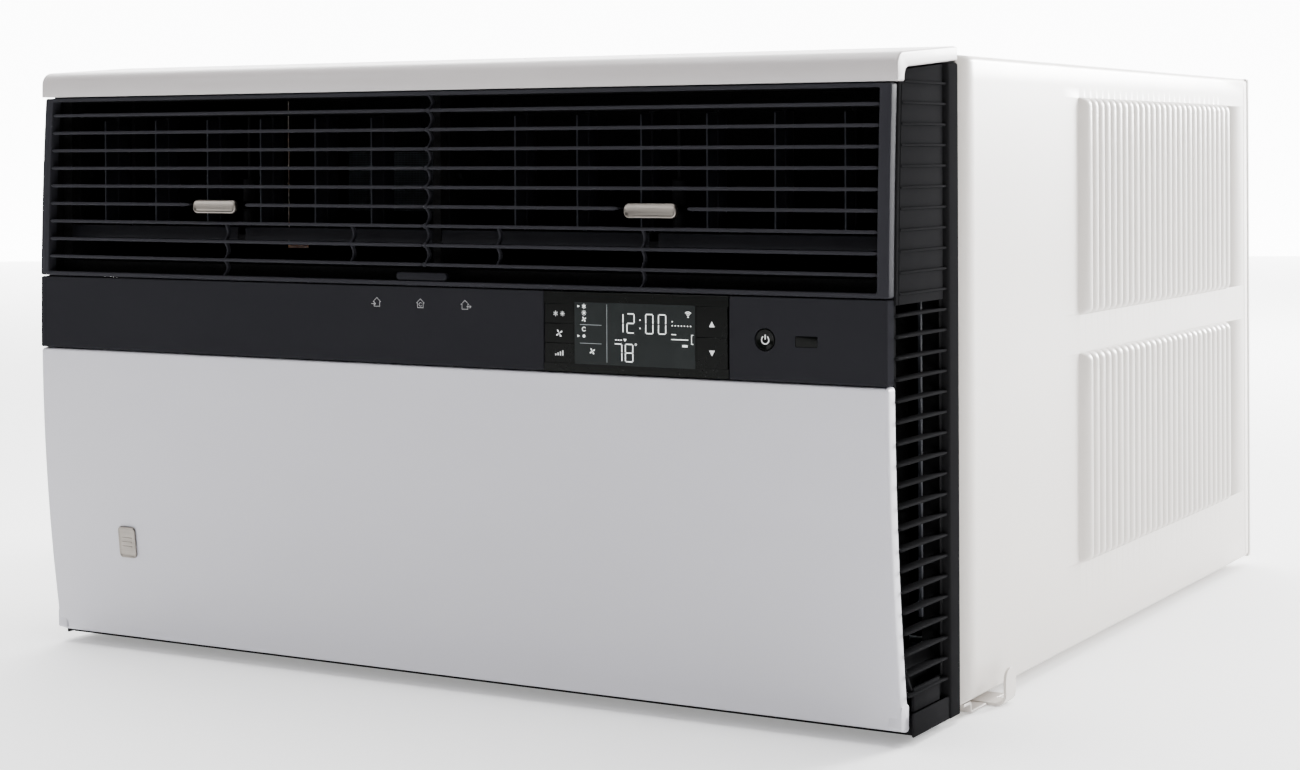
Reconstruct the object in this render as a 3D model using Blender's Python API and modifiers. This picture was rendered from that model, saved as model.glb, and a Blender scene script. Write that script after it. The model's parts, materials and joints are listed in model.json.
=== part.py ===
"""Window air conditioner with a slide-out chassis, as an assembly of separate solids.

Metres, +Z up. The front faces -Y, +X is on the right seen from the front. The origin is
under the middle of the unit, on the surface that the sill rail stands on.
"""

import math

import bmesh
import bpy
from mathutils import Matrix, Vector

# ---------------------------------------------------------------- driving dimensions
DEPTH = 0.737               # over everything, front face to rear guard
FRONT_Y = -DEPTH / 2        # fullest line of the front
REAR_Y = DEPTH / 2
BULGE_Z = 0.2225            # height of the fullest line
UPPER_RADIUS = 2.28         # side-view radius of the front above that line
LOWER_RADIUS = 1.262        # and below it
GAP = 0.0003                # between touching pieces
SEAM = 0.0008               # visible joint line between front mouldings

SLEEVE_HALF = 0.3285        # half width of the steel sleeve
SLEEVE_BOTTOM = 0.0078
SLEEVE_TOP = 0.4060
SHEET = 0.0016              # sleeve sheet with its paint
SLEEVE_FRONT_Y = -0.2717
GUARD_DEPTH = 0.0087

FRAME_HALF = 0.3300         # flange of the front frame, a little proud of the sleeve
FRAME_BOTTOM = 0.0048
FRAME_TOP = 0.4005
TRIM_REAR_LOW = 0.4021
FLANGE_REAR_Y = -0.2720
FLANGE_DEPTH = 0.0143
FLANGE_FRONT_Y = FLANGE_REAR_Y - FLANGE_DEPTH

FACE_HALF = 0.3265          # half width of the front mouldings
RIM_DEPTH = 0.0085          # side rim of the front mouldings
SKIN = 0.0025

SLAT_PITCH = 0.01235
SLAT_TOP_Z = 0.3745         # middle of the top slat
SLAT_COUNT = 9
SLAT_THICK = 0.0022
OPENING_HALF = 0.3190
OPENING_BOTTOM = 0.2650
OPENING_TOP = 0.3842
GRILLE_BOTTOM = 0.2622
GRILLE_TOP = 0.3868
GRILLE_DEPTH = 0.0080

BAND_BOTTOM = 0.2117
BAND_TOP = GRILLE_BOTTOM - SEAM
PANEL_BOTTOM = 0.0085
PANEL_TOP = BAND_BOTTOM - SEAM

LEVER_X = 0.1690            # handles, left and right of the middle
LEVER_Z = 0.3115
LEVER_GAP_HALF = 0.0243     # half the break in the sixth slat
BANK_AXIS_Y = -0.3300
BANK_AXIS_Z = 0.3325
BANK_INNER_X = 0.0080
BANK_OUTER_X = 0.3100
VANE_FIRST_X = 0.0564
VANE_PITCH = 0.0463
VANES_PER_BANK = 6

LENS_LEFT, LENS_RIGHT = 0.0935, 0.2228
LENS_DEPTH = 0.0028
KEY_LEFT = (0.0942, 0.1150)         # across the left key column
KEY_RIGHT = (0.2012, 0.2221)
LEFT_COLUMN = (0.2172, 0.2535)      # height of the left key column
RIGHT_COLUMN = (0.2176, 0.2546)
POWER_PLACE = (0.2470, 0.2362)
POWER_RADIUS = 0.0065
IR_BOX = (0.2668, 0.2325, 0.2815, 0.2391)

BADGE_PLACE = (-0.2530, 0.0780)
BADGE_HALF = (0.0075, 0.0110)
GLAND_PLACE = (-0.3285, -0.3050, 0.0224)

FAN_X = 0.040               # axis shared by blower, motor and condenser fan
FAN_Z = 0.145
SHAFT_BORE = 0.0064
BLOWER_FRONT_Y, BLOWER_REAR_Y = -0.2050, -0.1050
CONDENSER_FAN_Y = 0.1700
MOTOR_Y = -0.0100
MOTOR_RADIUS = 0.0550

PANEL_HINGE_Y = -0.3462
PANEL_HINGE_Z = 0.0178
PANEL_SWEEP = 0.0106        # room behind the hinge line for the panel's lower edge

BULKHEAD_Y = -0.1000
BULKHEAD_THICK = 0.0040
DAMPER_X, DAMPER_Z = -0.2100, 0.3450
DAMPER_HINGE_Y = -0.0740    # far enough off the bulkhead for the door to lean on its port

LOUVRE_COUNT = 27           # pressed louvres in each side field
LOUVRE_FRONT_Y = -0.0530
LOUVRE_REAR_Y = 0.2910
LOUVRE_FIELDS = ((0.0635, 0.2080), (0.2340, 0.3835))

PARTS = "window_air_conditioner"
CUTTERS = "cutters"


# ---------------------------------------------------------------- scene and materials
def reset_scene():
    """Empty the scene and make the two collections."""
    for obj in list(bpy.data.objects):
        bpy.data.objects.remove(obj, do_unlink=True)
    for name in (PARTS, CUTTERS):
        group = bpy.data.collections.new(name)
        bpy.context.scene.collection.children.link(group)


def material(name, colour, roughness, metallic=0.0):
    """A Principled material with one colour."""
    mat = bpy.data.materials.new(name)
    mat.use_nodes = True
    shader = mat.node_tree.nodes["Principled BSDF"]
    shader.inputs["Base Color"].default_value = (*colour, 1.0)
    shader.inputs["Roughness"].default_value = roughness
    shader.inputs["Metallic"].default_value = metallic
    return mat


def make_materials():
    """Every finish that the unit uses."""
    return {
        "sleeve": material("sleeve_paint", (0.74, 0.72, 0.69), 0.45),
        "panel": material("panel_grey", (0.55, 0.55, 0.58), 0.40),
        "trim": material("trim_grey", (0.50, 0.49, 0.48), 0.35),
        "charcoal": material("charcoal_plastic", (0.030, 0.030, 0.033), 0.45),
        "black": material("grille_black", (0.018, 0.018, 0.022), 0.40),
        "gloss": material("gloss_black", (0.008, 0.009, 0.008), 0.08),
        "nickel": material("brushed_nickel", (0.56, 0.54, 0.50), 0.30, 1.0),
        "steel": material("galvanised_steel", (0.52, 0.53, 0.54), 0.45, 1.0),
        "fins": material("aluminium_fins", (0.70, 0.71, 0.72), 0.40, 1.0),
        "copper": material("copper_tube", (0.72, 0.38, 0.24), 0.30, 1.0),
        "painted_black": material("black_enamel", (0.02, 0.02, 0.02), 0.35),
        "white_plastic": material("white_plastic", (0.70, 0.70, 0.68), 0.50),
        "filter": material("filter_mesh", (0.09, 0.10, 0.11), 0.80),
        "foam": material("duct_foam", (0.10, 0.10, 0.11), 0.85),
        "rubber": material("rubber", (0.02, 0.02, 0.02), 0.75),
    }


# ---------------------------------------------------------------- building blocks
def link(obj, group):
    """Put an object in one collection only."""
    for owner in list(obj.users_collection):
        owner.objects.unlink(obj)
    bpy.data.collections[group].objects.link(obj)


def from_bmesh(name, bm, mat=None, group=PARTS):
    """An object from a finished bmesh."""
    mesh = bpy.data.meshes.new(name)
    bm.to_mesh(mesh)
    bm.free()
    obj = bpy.data.objects.new(name, mesh)
    bpy.data.collections[group].objects.link(obj)
    if mat is not None:
        mesh.materials.append(mat)
    if group == CUTTERS:
        obj.hide_render = True
        obj.display_type = "WIRE"
    return obj


def add_box(bm, low, high):
    """Add an upright box between two corners to a bmesh."""
    size = [b - a for a, b in zip(low, high)]
    centre = [(a + b) / 2 for a, b in zip(low, high)]
    matrix = Matrix.Translation(centre) @ Matrix.Diagonal((*size, 1.0))
    bmesh.ops.create_cube(bm, size=1.0, matrix=matrix)


def boxes(name, corners, mat=None, group=PARTS):
    """One mesh of upright boxes, each given as (low corner, high corner)."""
    bm = bmesh.new()
    for low, high in corners:
        add_box(bm, low, high)
    return from_bmesh(name, bm, mat, group)


AXIS_TURN = {
    "x": Matrix.Rotation(math.radians(90), 4, "Y"),
    "y": Matrix.Rotation(math.radians(-90), 4, "X"),
    "z": Matrix.Identity(4),
}


def add_rod(bm, centre, axis, radius, length, segments=16):
    """Add a capped cylinder, centred, along one world axis to a bmesh."""
    bmesh.ops.create_cone(
        bm, cap_ends=True, segments=segments, radius1=radius, radius2=radius, depth=length,
        matrix=Matrix.Translation(centre) @ AXIS_TURN[axis])


def rods(name, items, segments=16, mat=None, group=PARTS):
    """One mesh of cylinders, each given as (centre, axis, radius, length)."""
    bm = bmesh.new()
    for centre, axis, radius, length in items:
        add_rod(bm, centre, axis, radius, length, segments)
    return from_bmesh(name, bm, mat, group)


def mesh_from_curve(obj, mat):
    """Turn a curve object into a mesh object with welded caps, in the same place."""
    bpy.context.view_layer.update()
    evaluated = obj.evaluated_get(bpy.context.evaluated_depsgraph_get())
    mesh = bpy.data.meshes.new_from_object(evaluated)
    bm = bmesh.new()
    bm.from_mesh(mesh)
    bmesh.ops.remove_doubles(bm, verts=bm.verts, dist=0.00001)
    bmesh.ops.recalc_face_normals(bm, faces=bm.faces)
    bm.to_mesh(mesh)
    bm.free()
    name = obj.name
    matrix = obj.matrix_world.copy()
    group = obj.users_collection[0]
    bpy.data.objects.remove(obj, do_unlink=True)
    solid = bpy.data.objects.new(name, mesh)
    solid.matrix_world = matrix
    group.objects.link(solid)
    mesh.materials.clear()
    mesh.materials.append(mat)
    return solid


PLANE_TURN = {
    "xz": Matrix.Rotation(math.radians(90), 4, "X"),
    "yz": Matrix.Rotation(math.radians(90), 4, "Z") @ Matrix.Rotation(math.radians(90), 4, "X"),
    "xy": Matrix.Identity(4),
}
PLANE_NORMAL = {"xz": Vector((0, 1, 0)), "yz": Vector((1, 0, 0)), "xy": Vector((0, 0, 1))}


def outline(name, loops, plane, start, end, mat, group=PARTS):
    """A flat shape with holes, drawn in one world plane and extruded from start to end."""
    curve = bpy.data.curves.new(name, "CURVE")
    curve.dimensions = "2D"
    curve.fill_mode = "BOTH"
    curve.extrude = abs(end - start) / 2
    for points in loops:
        spline = curve.splines.new("POLY")
        spline.points.add(len(points) - 1)
        for point, (u, v) in zip(spline.points, points):
            point.co = (u, v, 0.0, 1.0)
        spline.use_cyclic_u = True
    obj = bpy.data.objects.new(name, curve)
    bpy.data.collections[group].objects.link(obj)
    middle = (start + end) / 2
    obj.matrix_world = Matrix.Translation(PLANE_NORMAL[plane] * middle) @ PLANE_TURN[plane]
    solid = mesh_from_curve(obj, mat)
    if group == CUTTERS:
        solid.hide_render = True
        solid.display_type = "WIRE"
    return solid


def tube(name, points, radius, mat, resolution=2):
    """A round tube through points, with closed ends."""
    curve = bpy.data.curves.new(name, "CURVE")
    curve.dimensions = "3D"
    curve.bevel_depth = radius
    curve.bevel_resolution = resolution
    curve.use_fill_caps = True
    spline = curve.splines.new("POLY")
    spline.points.add(len(points) - 1)
    for point, place in zip(spline.points, points):
        point.co = (*place, 1.0)
    obj = bpy.data.objects.new(name, curve)
    bpy.data.collections[PARTS].objects.link(obj)
    solid = mesh_from_curve(obj, mat)
    shade_round(solid)
    return solid


def turned(name, profile, centre, axis, mat, steps=32, closed=False):
    """A turned solid: (radius, height) points run down the outer side from top to bottom."""
    bm = bmesh.new()
    verts = [bm.verts.new((radius, 0.0, height)) for radius, height in profile]
    for first, second in zip(verts, verts[1:]):
        bm.edges.new((first, second))
    if closed:
        bm.edges.new((verts[-1], verts[0]))
    obj = from_bmesh(name, bm, mat)
    obj.matrix_world = Matrix.Translation(centre) @ AXIS_TURN[axis]
    screw = obj.modifiers.new("turn", "SCREW")
    screw.steps = steps
    screw.render_steps = steps
    screw.use_merge_vertices = True
    screw.merge_threshold = 0.00005
    return obj


def shade_round(obj, degrees=35):
    """Smooth shading on round walls, sharp on corners."""
    obj.data.shade_smooth()
    obj.data.set_sharp_from_angle(angle=math.radians(degrees))


def boolean(obj, other, operation):
    """Add a Boolean modifier, and move the other object to the cutters."""
    link(other, CUTTERS)
    other.hide_render = True
    other.display_type = "WIRE"
    mod = obj.modifiers.new(operation.lower(), "BOOLEAN")
    mod.operation = operation
    mod.object = other
    return mod


def cut(obj, other):
    """Cut the other object's shape out of this one."""
    return boolean(obj, other, "DIFFERENCE")


def join(obj, other):
    """Join the other object's shape to this one."""
    return boolean(obj, other, "UNION")


def hollow(obj, wall, is_open):
    """Open a closed solid at the faces that is_open accepts, and give its skin a wall."""
    bm = bmesh.new()
    bm.from_mesh(obj.data)
    turn = obj.matrix_world.to_3x3()
    doomed = [face for face in bm.faces if is_open(turn @ face.normal)]
    bmesh.ops.delete(bm, geom=doomed, context="FACES")
    bm.to_mesh(obj.data)
    bm.free()
    solidify = obj.modifiers.new("wall", "SOLIDIFY")
    solidify.thickness = wall
    solidify.offset = -1.0
    solidify.use_even_offset = True
    return obj


def pivot(name, place, parent=None):
    """An empty on a joint's axis."""
    empty = bpy.data.objects.new(name, None)
    empty.empty_display_size = 0.02
    bpy.data.collections[PARTS].objects.link(empty)
    empty["world"] = list(place)
    empty.location = place
    if parent is not None:
        attach(empty, parent)
    return empty


def attach(obj, parent):
    """Parent an object to an unturned empty without moving it."""
    obj.parent = parent
    obj.matrix_parent_inverse = Matrix.Translation(parent["world"]).inverted()


def rectangle(u0, v0, u1, v1):
    """Corner points of a rectangle."""
    return [(u0, v0), (u1, v0), (u1, v1), (u0, v1)]


def rounded_rectangle(u0, v0, u1, v1, radius, steps=4):
    """Points of a rectangle with round corners."""
    points = []
    corners = ((u1 - radius, v0 + radius, -90), (u1 - radius, v1 - radius, 0),
               (u0 + radius, v1 - radius, 90), (u0 + radius, v0 + radius, 180))
    for cu, cv, begin in corners:
        points += arc(cu, cv, radius, begin, begin + 90, steps)
    return points


def arc(cu, cv, radius, begin, end, steps):
    """Points along an arc, angles in degrees."""
    angles = [math.radians(begin + (end - begin) * i / steps) for i in range(steps + 1)]
    return [(cu + radius * math.cos(a), cv + radius * math.sin(a)) for a in angles]


def face_y(z):
    """Depth of the front face at a height: two arcs that meet at the fullest line."""
    rise = z - BULGE_Z
    radius = UPPER_RADIUS if rise > 0 else LOWER_RADIUS
    return FRONT_Y + rise * rise / (2 * radius)


def face_points(z0, z1, back=0.0, steps=8):
    """Side-view points up the front face between two heights, set back by a distance."""
    heights = [z0 + (z1 - z0) * i / steps for i in range(steps + 1)]
    return [(face_y(z) + back, z) for z in heights]


# ---------------------------------------------------------------- fixed outer shell
def build_sleeve(mats):
    """Painted steel sleeve: a tube with louvre slots in both sides and two pressed skids."""
    rear = REAR_Y - GUARD_DEPTH - GAP
    outer = rounded_rectangle(-SLEEVE_HALF, SLEEVE_BOTTOM, SLEEVE_HALF, SLEEVE_TOP, 0.004, 3)
    inner = rounded_rectangle(-SLEEVE_HALF + SHEET, SLEEVE_BOTTOM + SHEET,
                              SLEEVE_HALF - SHEET, SLEEVE_TOP - SHEET, 0.0025, 3)
    sleeve = outline("cabinet_sleeve", [outer, inner], "xz", SLEEVE_FRONT_Y, rear, mats["sleeve"])
    slots = []
    for low, high in LOUVRE_FIELDS:
        for index in range(LOUVRE_COUNT):
            along = LOUVRE_FRONT_Y + (LOUVRE_REAR_Y - LOUVRE_FRONT_Y) * index / (LOUVRE_COUNT - 1)
            for side in (-1, 1):
                near, far = sorted((side * (SLEEVE_HALF - 0.004), side * (SLEEVE_HALF + 0.002)))
                slots.append(((near, along - 0.0012, low), (far, along + 0.0012, high)))
    skids = [((x0, 0.250, 0.0), (x0 + 0.060, 0.345, SLEEVE_BOTTOM + 0.0008)) for x0 in (-0.29, 0.23)]
    join(sleeve, boxes("sleeve_skids", skids, mats["sleeve"], CUTTERS))
    cut(sleeve, boxes("sleeve_slots", slots, None, CUTTERS))
    return sleeve


def build_sill_rail(mats):
    """Z-section rail under the sleeve, its plate turned up into a tab at each end."""
    upper = SLEEVE_BOTTOM - GAP
    section = [(-0.2585, upper - 0.0015), (-0.2475, upper - 0.0015), (-0.2475, 0.0), (-0.1900, 0.0),
               (-0.1900, 0.0015), (-0.2460, 0.0015), (-0.2460, upper), (-0.2585, upper)]
    rail = outline("sill_rail", [section], "yz", -0.3270, 0.3270, mats["sleeve"])
    for side, name in ((-1, "left"), (1, "right")):
        near = side * 0.3200
        ell = [(near, 0.0), (side * 0.3360, 0.0)]
        ell += arc(side * 0.3360, 0.0040, 0.0040, -90, -90 + side * 90, 4)[1:]
        ell += [(side * 0.3400, 0.0234), (side * 0.3380, 0.0234), (side * 0.3380, 0.0040)]
        ell += arc(side * 0.3360, 0.0040, 0.0020, 0 if side > 0 else 180, -90 if side > 0 else 270, 4)[1:]
        ell += [(near, 0.0020)]
        join(rail, outline("rail_tab_" + name, [ell], "xz", -0.2210, -0.2050, mats["sleeve"]))
    return rail


def build_rear_guard(mats):
    """Shallow steel tray over the back of the sleeve, with rows of upright slots."""
    corners = ((-SLEEVE_HALF, REAR_Y - GUARD_DEPTH, SLEEVE_BOTTOM), (SLEEVE_HALF, REAR_Y, SLEEVE_TOP))
    guard = boxes("rear_guard", [corners], mats["sleeve"])
    hollow(guard, SHEET, lambda normal: normal.y < -0.9)
    columns, rows = 20, 3
    slots = []
    for row in range(rows):
        low = 0.0300 + row * 0.1190
        for column in range(columns):
            x0 = -0.2990 + column * 0.0300
            slots.append(((x0, REAR_Y - 0.0050, low), (x0 + 0.0230, REAR_Y + 0.0020, low + 0.1080)))
    cut(guard, boxes("guard_slots", slots, None, CUTTERS))
    return guard


# ---------------------------------------------------------------- front of the chassis
def build_front_frame(mats):
    """Charcoal frame: rear flange ring, bottom rail and the two ears that hold the hinge pins."""
    inner = rectangle(-0.3110, 0.0170, 0.3110, 0.3920)
    outer = rectangle(-FRAME_HALF, FRAME_BOTTOM, FRAME_HALF, FRAME_TOP)
    frame = outline("front_frame", [outer, inner], "xz", FLANGE_FRONT_Y, FLANGE_REAR_Y,
                    mats["charcoal"])
    rail_half, rail_top, rail_rear = 0.3290, 0.0140, FLANGE_FRONT_Y + 0.001
    rail = [((-rail_half, PANEL_HINGE_Y + PANEL_SWEEP, FRAME_BOTTOM), (rail_half, rail_rear, rail_top))]
    join(frame, boxes("frame_bottom_rail", rail, mats["charcoal"], CUTTERS))
    cheeks = [((-rail_half, -0.3400, FRAME_BOTTOM), (-FACE_HALF - SEAM, rail_rear, rail_top)),
              ((FACE_HALF + SEAM, -0.3400, FRAME_BOTTOM), (rail_half, rail_rear, rail_top))]
    join(frame, boxes("frame_rail_cheeks", cheeks, mats["charcoal"], CUTTERS))
    nose = arc(PANEL_HINGE_Y, PANEL_HINGE_Z, 0.0029, 100, 315, 8)
    reach = [(0.0065, 0.0008), (0.0620, 0.0090), (0.0620, 0.0300), (0.0205, 0.0300)]
    ear = nose + [(PANEL_HINGE_Y + y, PANEL_HINGE_Z + z) for y, z in reach]
    pin_hole = arc(PANEL_HINGE_Y, PANEL_HINGE_Z, 0.0017, 0, 330, 11)
    for side, name in ((-1, "left"), (1, "right")):
        near, far = sorted((side * 0.3120, side * 0.3165))
        join(frame, outline("hinge_ear_" + name, [ear, pin_hole], "yz", near, far,
                            mats["charcoal"]))
    return frame


def build_side_grille(name, side, mats):
    """Side wall of the front: closed above, open intake slats below, behind the front rim."""
    rear = FLANGE_FRONT_Y - GAP
    front = face_points(0.0290, GRILLE_TOP, RIM_DEPTH + SEAM, 12)
    loop = [(rear, 0.0150), (rear, 0.3998), (-0.3440, 0.3950), (-0.3508, 0.3915),
            (-0.3508, GRILLE_TOP)] + front[::-1]
    loop += [(PANEL_HINGE_Y + PANEL_SWEEP, 0.0290), (PANEL_HINGE_Y + PANEL_SWEEP, 0.0150)]
    loops = [loop]
    for index in range(9, 28):
        top = SLAT_TOP_Z - index * SLAT_PITCH - SLAT_THICK / 2
        low = top - SLAT_PITCH + SLAT_THICK
        first = max(face_y(top), face_y(low)) + RIM_DEPTH + SEAM + 0.0030
        first = max(first, PANEL_HINGE_Y + PANEL_SWEEP + 0.0030) if low < 0.0330 else first
        loops.append(rectangle(first, low, rear - 0.0030, top))
    near, far = sorted((side * 0.3245, side * 0.3285))
    return outline(name, loops, "yz", near, far, mats["charcoal"])


def build_top_trim(mats):
    """Light grey cap over the front: a sloping top and a short front leg with a round edge."""
    leg_z = GRILLE_TOP + SEAM
    top_y, top_z, radius = -0.3625, 0.4050, 0.0090
    loop = [(face_y(leg_z), leg_z)]
    loop += arc(top_y + radius, top_z - radius, radius, 180, 95, 5)
    loop += [(FLANGE_REAR_Y, 0.4108), (FLANGE_REAR_Y, TRIM_REAR_LOW)]
    loop += [(-0.3455, 0.3960), (-0.3520, 0.3925), (-0.3520, leg_z)]
    return outline("top_trim", [loop[::-1]], "yz", -FRAME_HALF, FRAME_HALF, mats["trim"])


def build_discharge_grille(mats):
    """One-piece discharge grille: a frame and nine slats, broken for the handles and the slider."""
    loops = [rectangle(-FACE_HALF, GRILLE_BOTTOM, FACE_HALF, GRILLE_TOP)]
    edges = [OPENING_TOP]
    for index in range(SLAT_COUNT):
        middle = SLAT_TOP_Z - index * SLAT_PITCH
        edges += [middle + SLAT_THICK / 2, middle - SLAT_THICK / 2]
    edges.append(OPENING_BOTTOM)
    web = 0.0012
    for top, low in zip(edges[0::2], edges[1::2]):
        loops.append(rectangle(-OPENING_HALF, low, 0.0020 - web, top))
        loops.append(rectangle(0.0020 + web, low, OPENING_HALF, top))
    grille = outline("discharge_grille", loops, "xz", 0.0, GRILLE_DEPTH, mats["black"])
    foot = Vector((0.0, face_y(GRILLE_BOTTOM), GRILLE_BOTTOM))
    lean = math.atan2(face_y(GRILLE_TOP) - face_y(GRILLE_BOTTOM), GRILLE_TOP - GRILLE_BOTTOM)
    turn = Matrix.Rotation(-lean, 4, "X")
    shift = Matrix.Translation((0.0, 0.0, -GRILLE_BOTTOM))
    grille.matrix_world = Matrix.Translation(foot) @ turn @ shift @ grille.matrix_world
    sixth = SLAT_TOP_Z - 5 * SLAT_PITCH
    gaps = [((side * LEVER_X - LEVER_GAP_HALF, FRONT_Y - 0.005, sixth - 0.004),
             (side * LEVER_X + LEVER_GAP_HALF, FRONT_Y + 0.020, sixth + 0.004)) for side in (-1, 1)]
    gaps.append(((-0.0580, FRONT_Y - 0.005, OPENING_BOTTOM - 0.0004),
                 (0.0580, FRONT_Y + 0.0052, OPENING_BOTTOM + 0.0085)))
    cut(grille, boxes("grille_gaps", gaps, None, CUTTERS))
    return grille


def build_discharge_duct(mats):
    """Foam-lined duct behind the grille, with a divider and sockets for the louvre pins."""
    outer = rectangle(-0.3225, 0.2640, 0.3225, 0.3905)
    left = rectangle(-0.3140, 0.2720, -0.0030, 0.3840)
    right = rectangle(0.0030, 0.2720, 0.3140, 0.3840)
    duct = outline("discharge_duct", [outer, left, right], "xz", -0.3490, FLANGE_FRONT_Y - GAP,
                   mats["foam"])
    sockets = [((x, BANK_AXIS_Y, BANK_AXIS_Z), "x", 0.0027, 0.0060) for x in (-0.3160, 0.3160)]
    sockets.append(((0.0, BANK_AXIS_Y, BANK_AXIS_Z), "x", 0.0027, 0.0160))
    cut(duct, rods("duct_sockets", sockets, 12, None, CUTTERS))
    return duct


def vane_places():
    """Distance of each vane from the middle plane."""
    return [VANE_FIRST_X + VANE_PITCH * index for index in range(VANES_PER_BANK)]


def build_louver_bank(side, label, mats, chassis):
    """One louvre bank: a tilting frame, six upright vanes and the lever that swings them."""
    tilt = pivot("tilt_axis_" + label, (side * LEVER_X, BANK_AXIS_Y, BANK_AXIS_Z), chassis)
    inner_x, outer_x = sorted((side * BANK_INNER_X, side * BANK_OUTER_X))
    rails = [((inner_x, -0.3490, 0.2885), (outer_x, -0.3180, 0.2925)),
             ((inner_x, -0.3490, 0.2885), (outer_x, -0.3460, 0.2975)),
             ((inner_x, -0.3420, 0.3730), (outer_x, -0.3180, 0.3765)),
             ((inner_x, -0.3420, 0.2885), (inner_x + 0.0030, -0.3180, 0.3765)),
             ((outer_x - 0.0030, -0.3420, 0.2885), (outer_x, -0.3180, 0.3765))]
    low, high = rails[0]
    frame = boxes("louver_frame_" + label, [(low, high)], mats["black"])
    for index, corners in enumerate(rails[1:]):
        join(frame, boxes("bank_rail_%s_%d" % (label, index), [corners], mats["black"], CUTTERS))
    pins = [((side * 0.0055, BANK_AXIS_Y, BANK_AXIS_Z), "x", 0.0022, 0.0070),
            ((side * 0.3125, BANK_AXIS_Y, BANK_AXIS_Z), "x", 0.0022, 0.0070)]
    join(frame, rods("bank_pins_" + label, pins, 12, mats["black"], CUTTERS))
    places = [side * x for x in vane_places()]
    holes = []
    for x in places + [side * LEVER_X]:
        holes.append(((x, BANK_AXIS_Y, 0.2920), "z", 0.0017, 0.0040))
        holes.append(((x, BANK_AXIS_Y, 0.3735), "z", 0.0017, 0.0030))
    cut(frame, rods("bank_sockets_" + label, holes, 8, None, CUTTERS))
    attach(frame, tilt)

    for number, x in enumerate(places, start=1):
        swing = pivot("vane_axis_%s_%d" % (label, number), (x, BANK_AXIS_Y, BANK_AXIS_Z), tilt)
        blade = [((x - 0.0006, -0.3430, 0.2990), (x + 0.0006, -0.3175, 0.3715))]
        vane = boxes("vane_%s_%d" % (label, number), blade, mats["black"])
        pin = [((x, BANK_AXIS_Y, 0.3328), "z", 0.0013, 0.0800)]
        join(vane, rods("vane_pin_%s_%d" % (label, number), pin, 8, mats["black"], CUTTERS))
        attach(vane, swing)

    centre_x = side * LEVER_X
    swing = pivot("lever_axis_" + label, (centre_x, BANK_AXIS_Y, BANK_AXIS_Z), tilt)
    paddle = rounded_rectangle(centre_x - 0.0182, LEVER_Z - 0.0045, centre_x + 0.0182,
                               LEVER_Z + 0.0045, 0.0038, 4)
    lever = outline("louver_lever_" + label, [paddle], "xz", FRONT_Y, FRONT_Y + 0.0040,
                    mats["nickel"])
    stem = [((centre_x - 0.0060, FRONT_Y + 0.0035, LEVER_Z - 0.0025),
             (centre_x + 0.0060, BANK_AXIS_Y, LEVER_Z + 0.0025))]
    join(lever, boxes("lever_stem_" + label, stem, mats["nickel"], CUTTERS))
    hub = [((centre_x, BANK_AXIS_Y, 0.3328), "z", 0.0013, 0.0800)]
    join(lever, rods("lever_pin_" + label, hub, 8, mats["nickel"], CUTTERS))
    boss = [((centre_x, BANK_AXIS_Y, 0.3150), "z", 0.0045, 0.0300)]
    join(lever, rods("lever_boss_" + label, boss, 16, mats["nickel"], CUTTERS))
    attach(lever, swing)


def build_control_band(mats):
    """Satin control band: a channel with a wide notch for the lens and holes for the rest."""
    loop = face_points(BAND_BOTTOM, BAND_TOP, 0.0, 4)
    loop += face_points(BAND_BOTTOM, BAND_TOP, RIM_DEPTH, 4)[::-1]
    band = outline("control_band", [loop], "yz", -FACE_HALF, FACE_HALF, mats["charcoal"])
    hollow(band, SKIN, lambda normal: normal.y > 0.9)
    notch = [((LENS_LEFT - GAP, FRONT_Y - 0.002, BAND_BOTTOM - 0.001),
              (LENS_RIGHT + GAP, FRONT_Y + 0.0040, BAND_TOP + 0.001)),
             ((IR_BOX[0] - GAP, FRONT_Y - 0.002, IR_BOX[1] - GAP),
              (IR_BOX[2] + GAP, FRONT_Y + 0.0050, IR_BOX[3] + GAP))]
    cut(band, boxes("band_notch", notch, None, CUTTERS))
    hole = [((POWER_PLACE[0], FRONT_Y, POWER_PLACE[1]), "y", POWER_RADIUS + 0.0004, 0.0120)]
    cut(band, rods("power_hole", hole, 24, None, CUTTERS))
    return band


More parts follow.
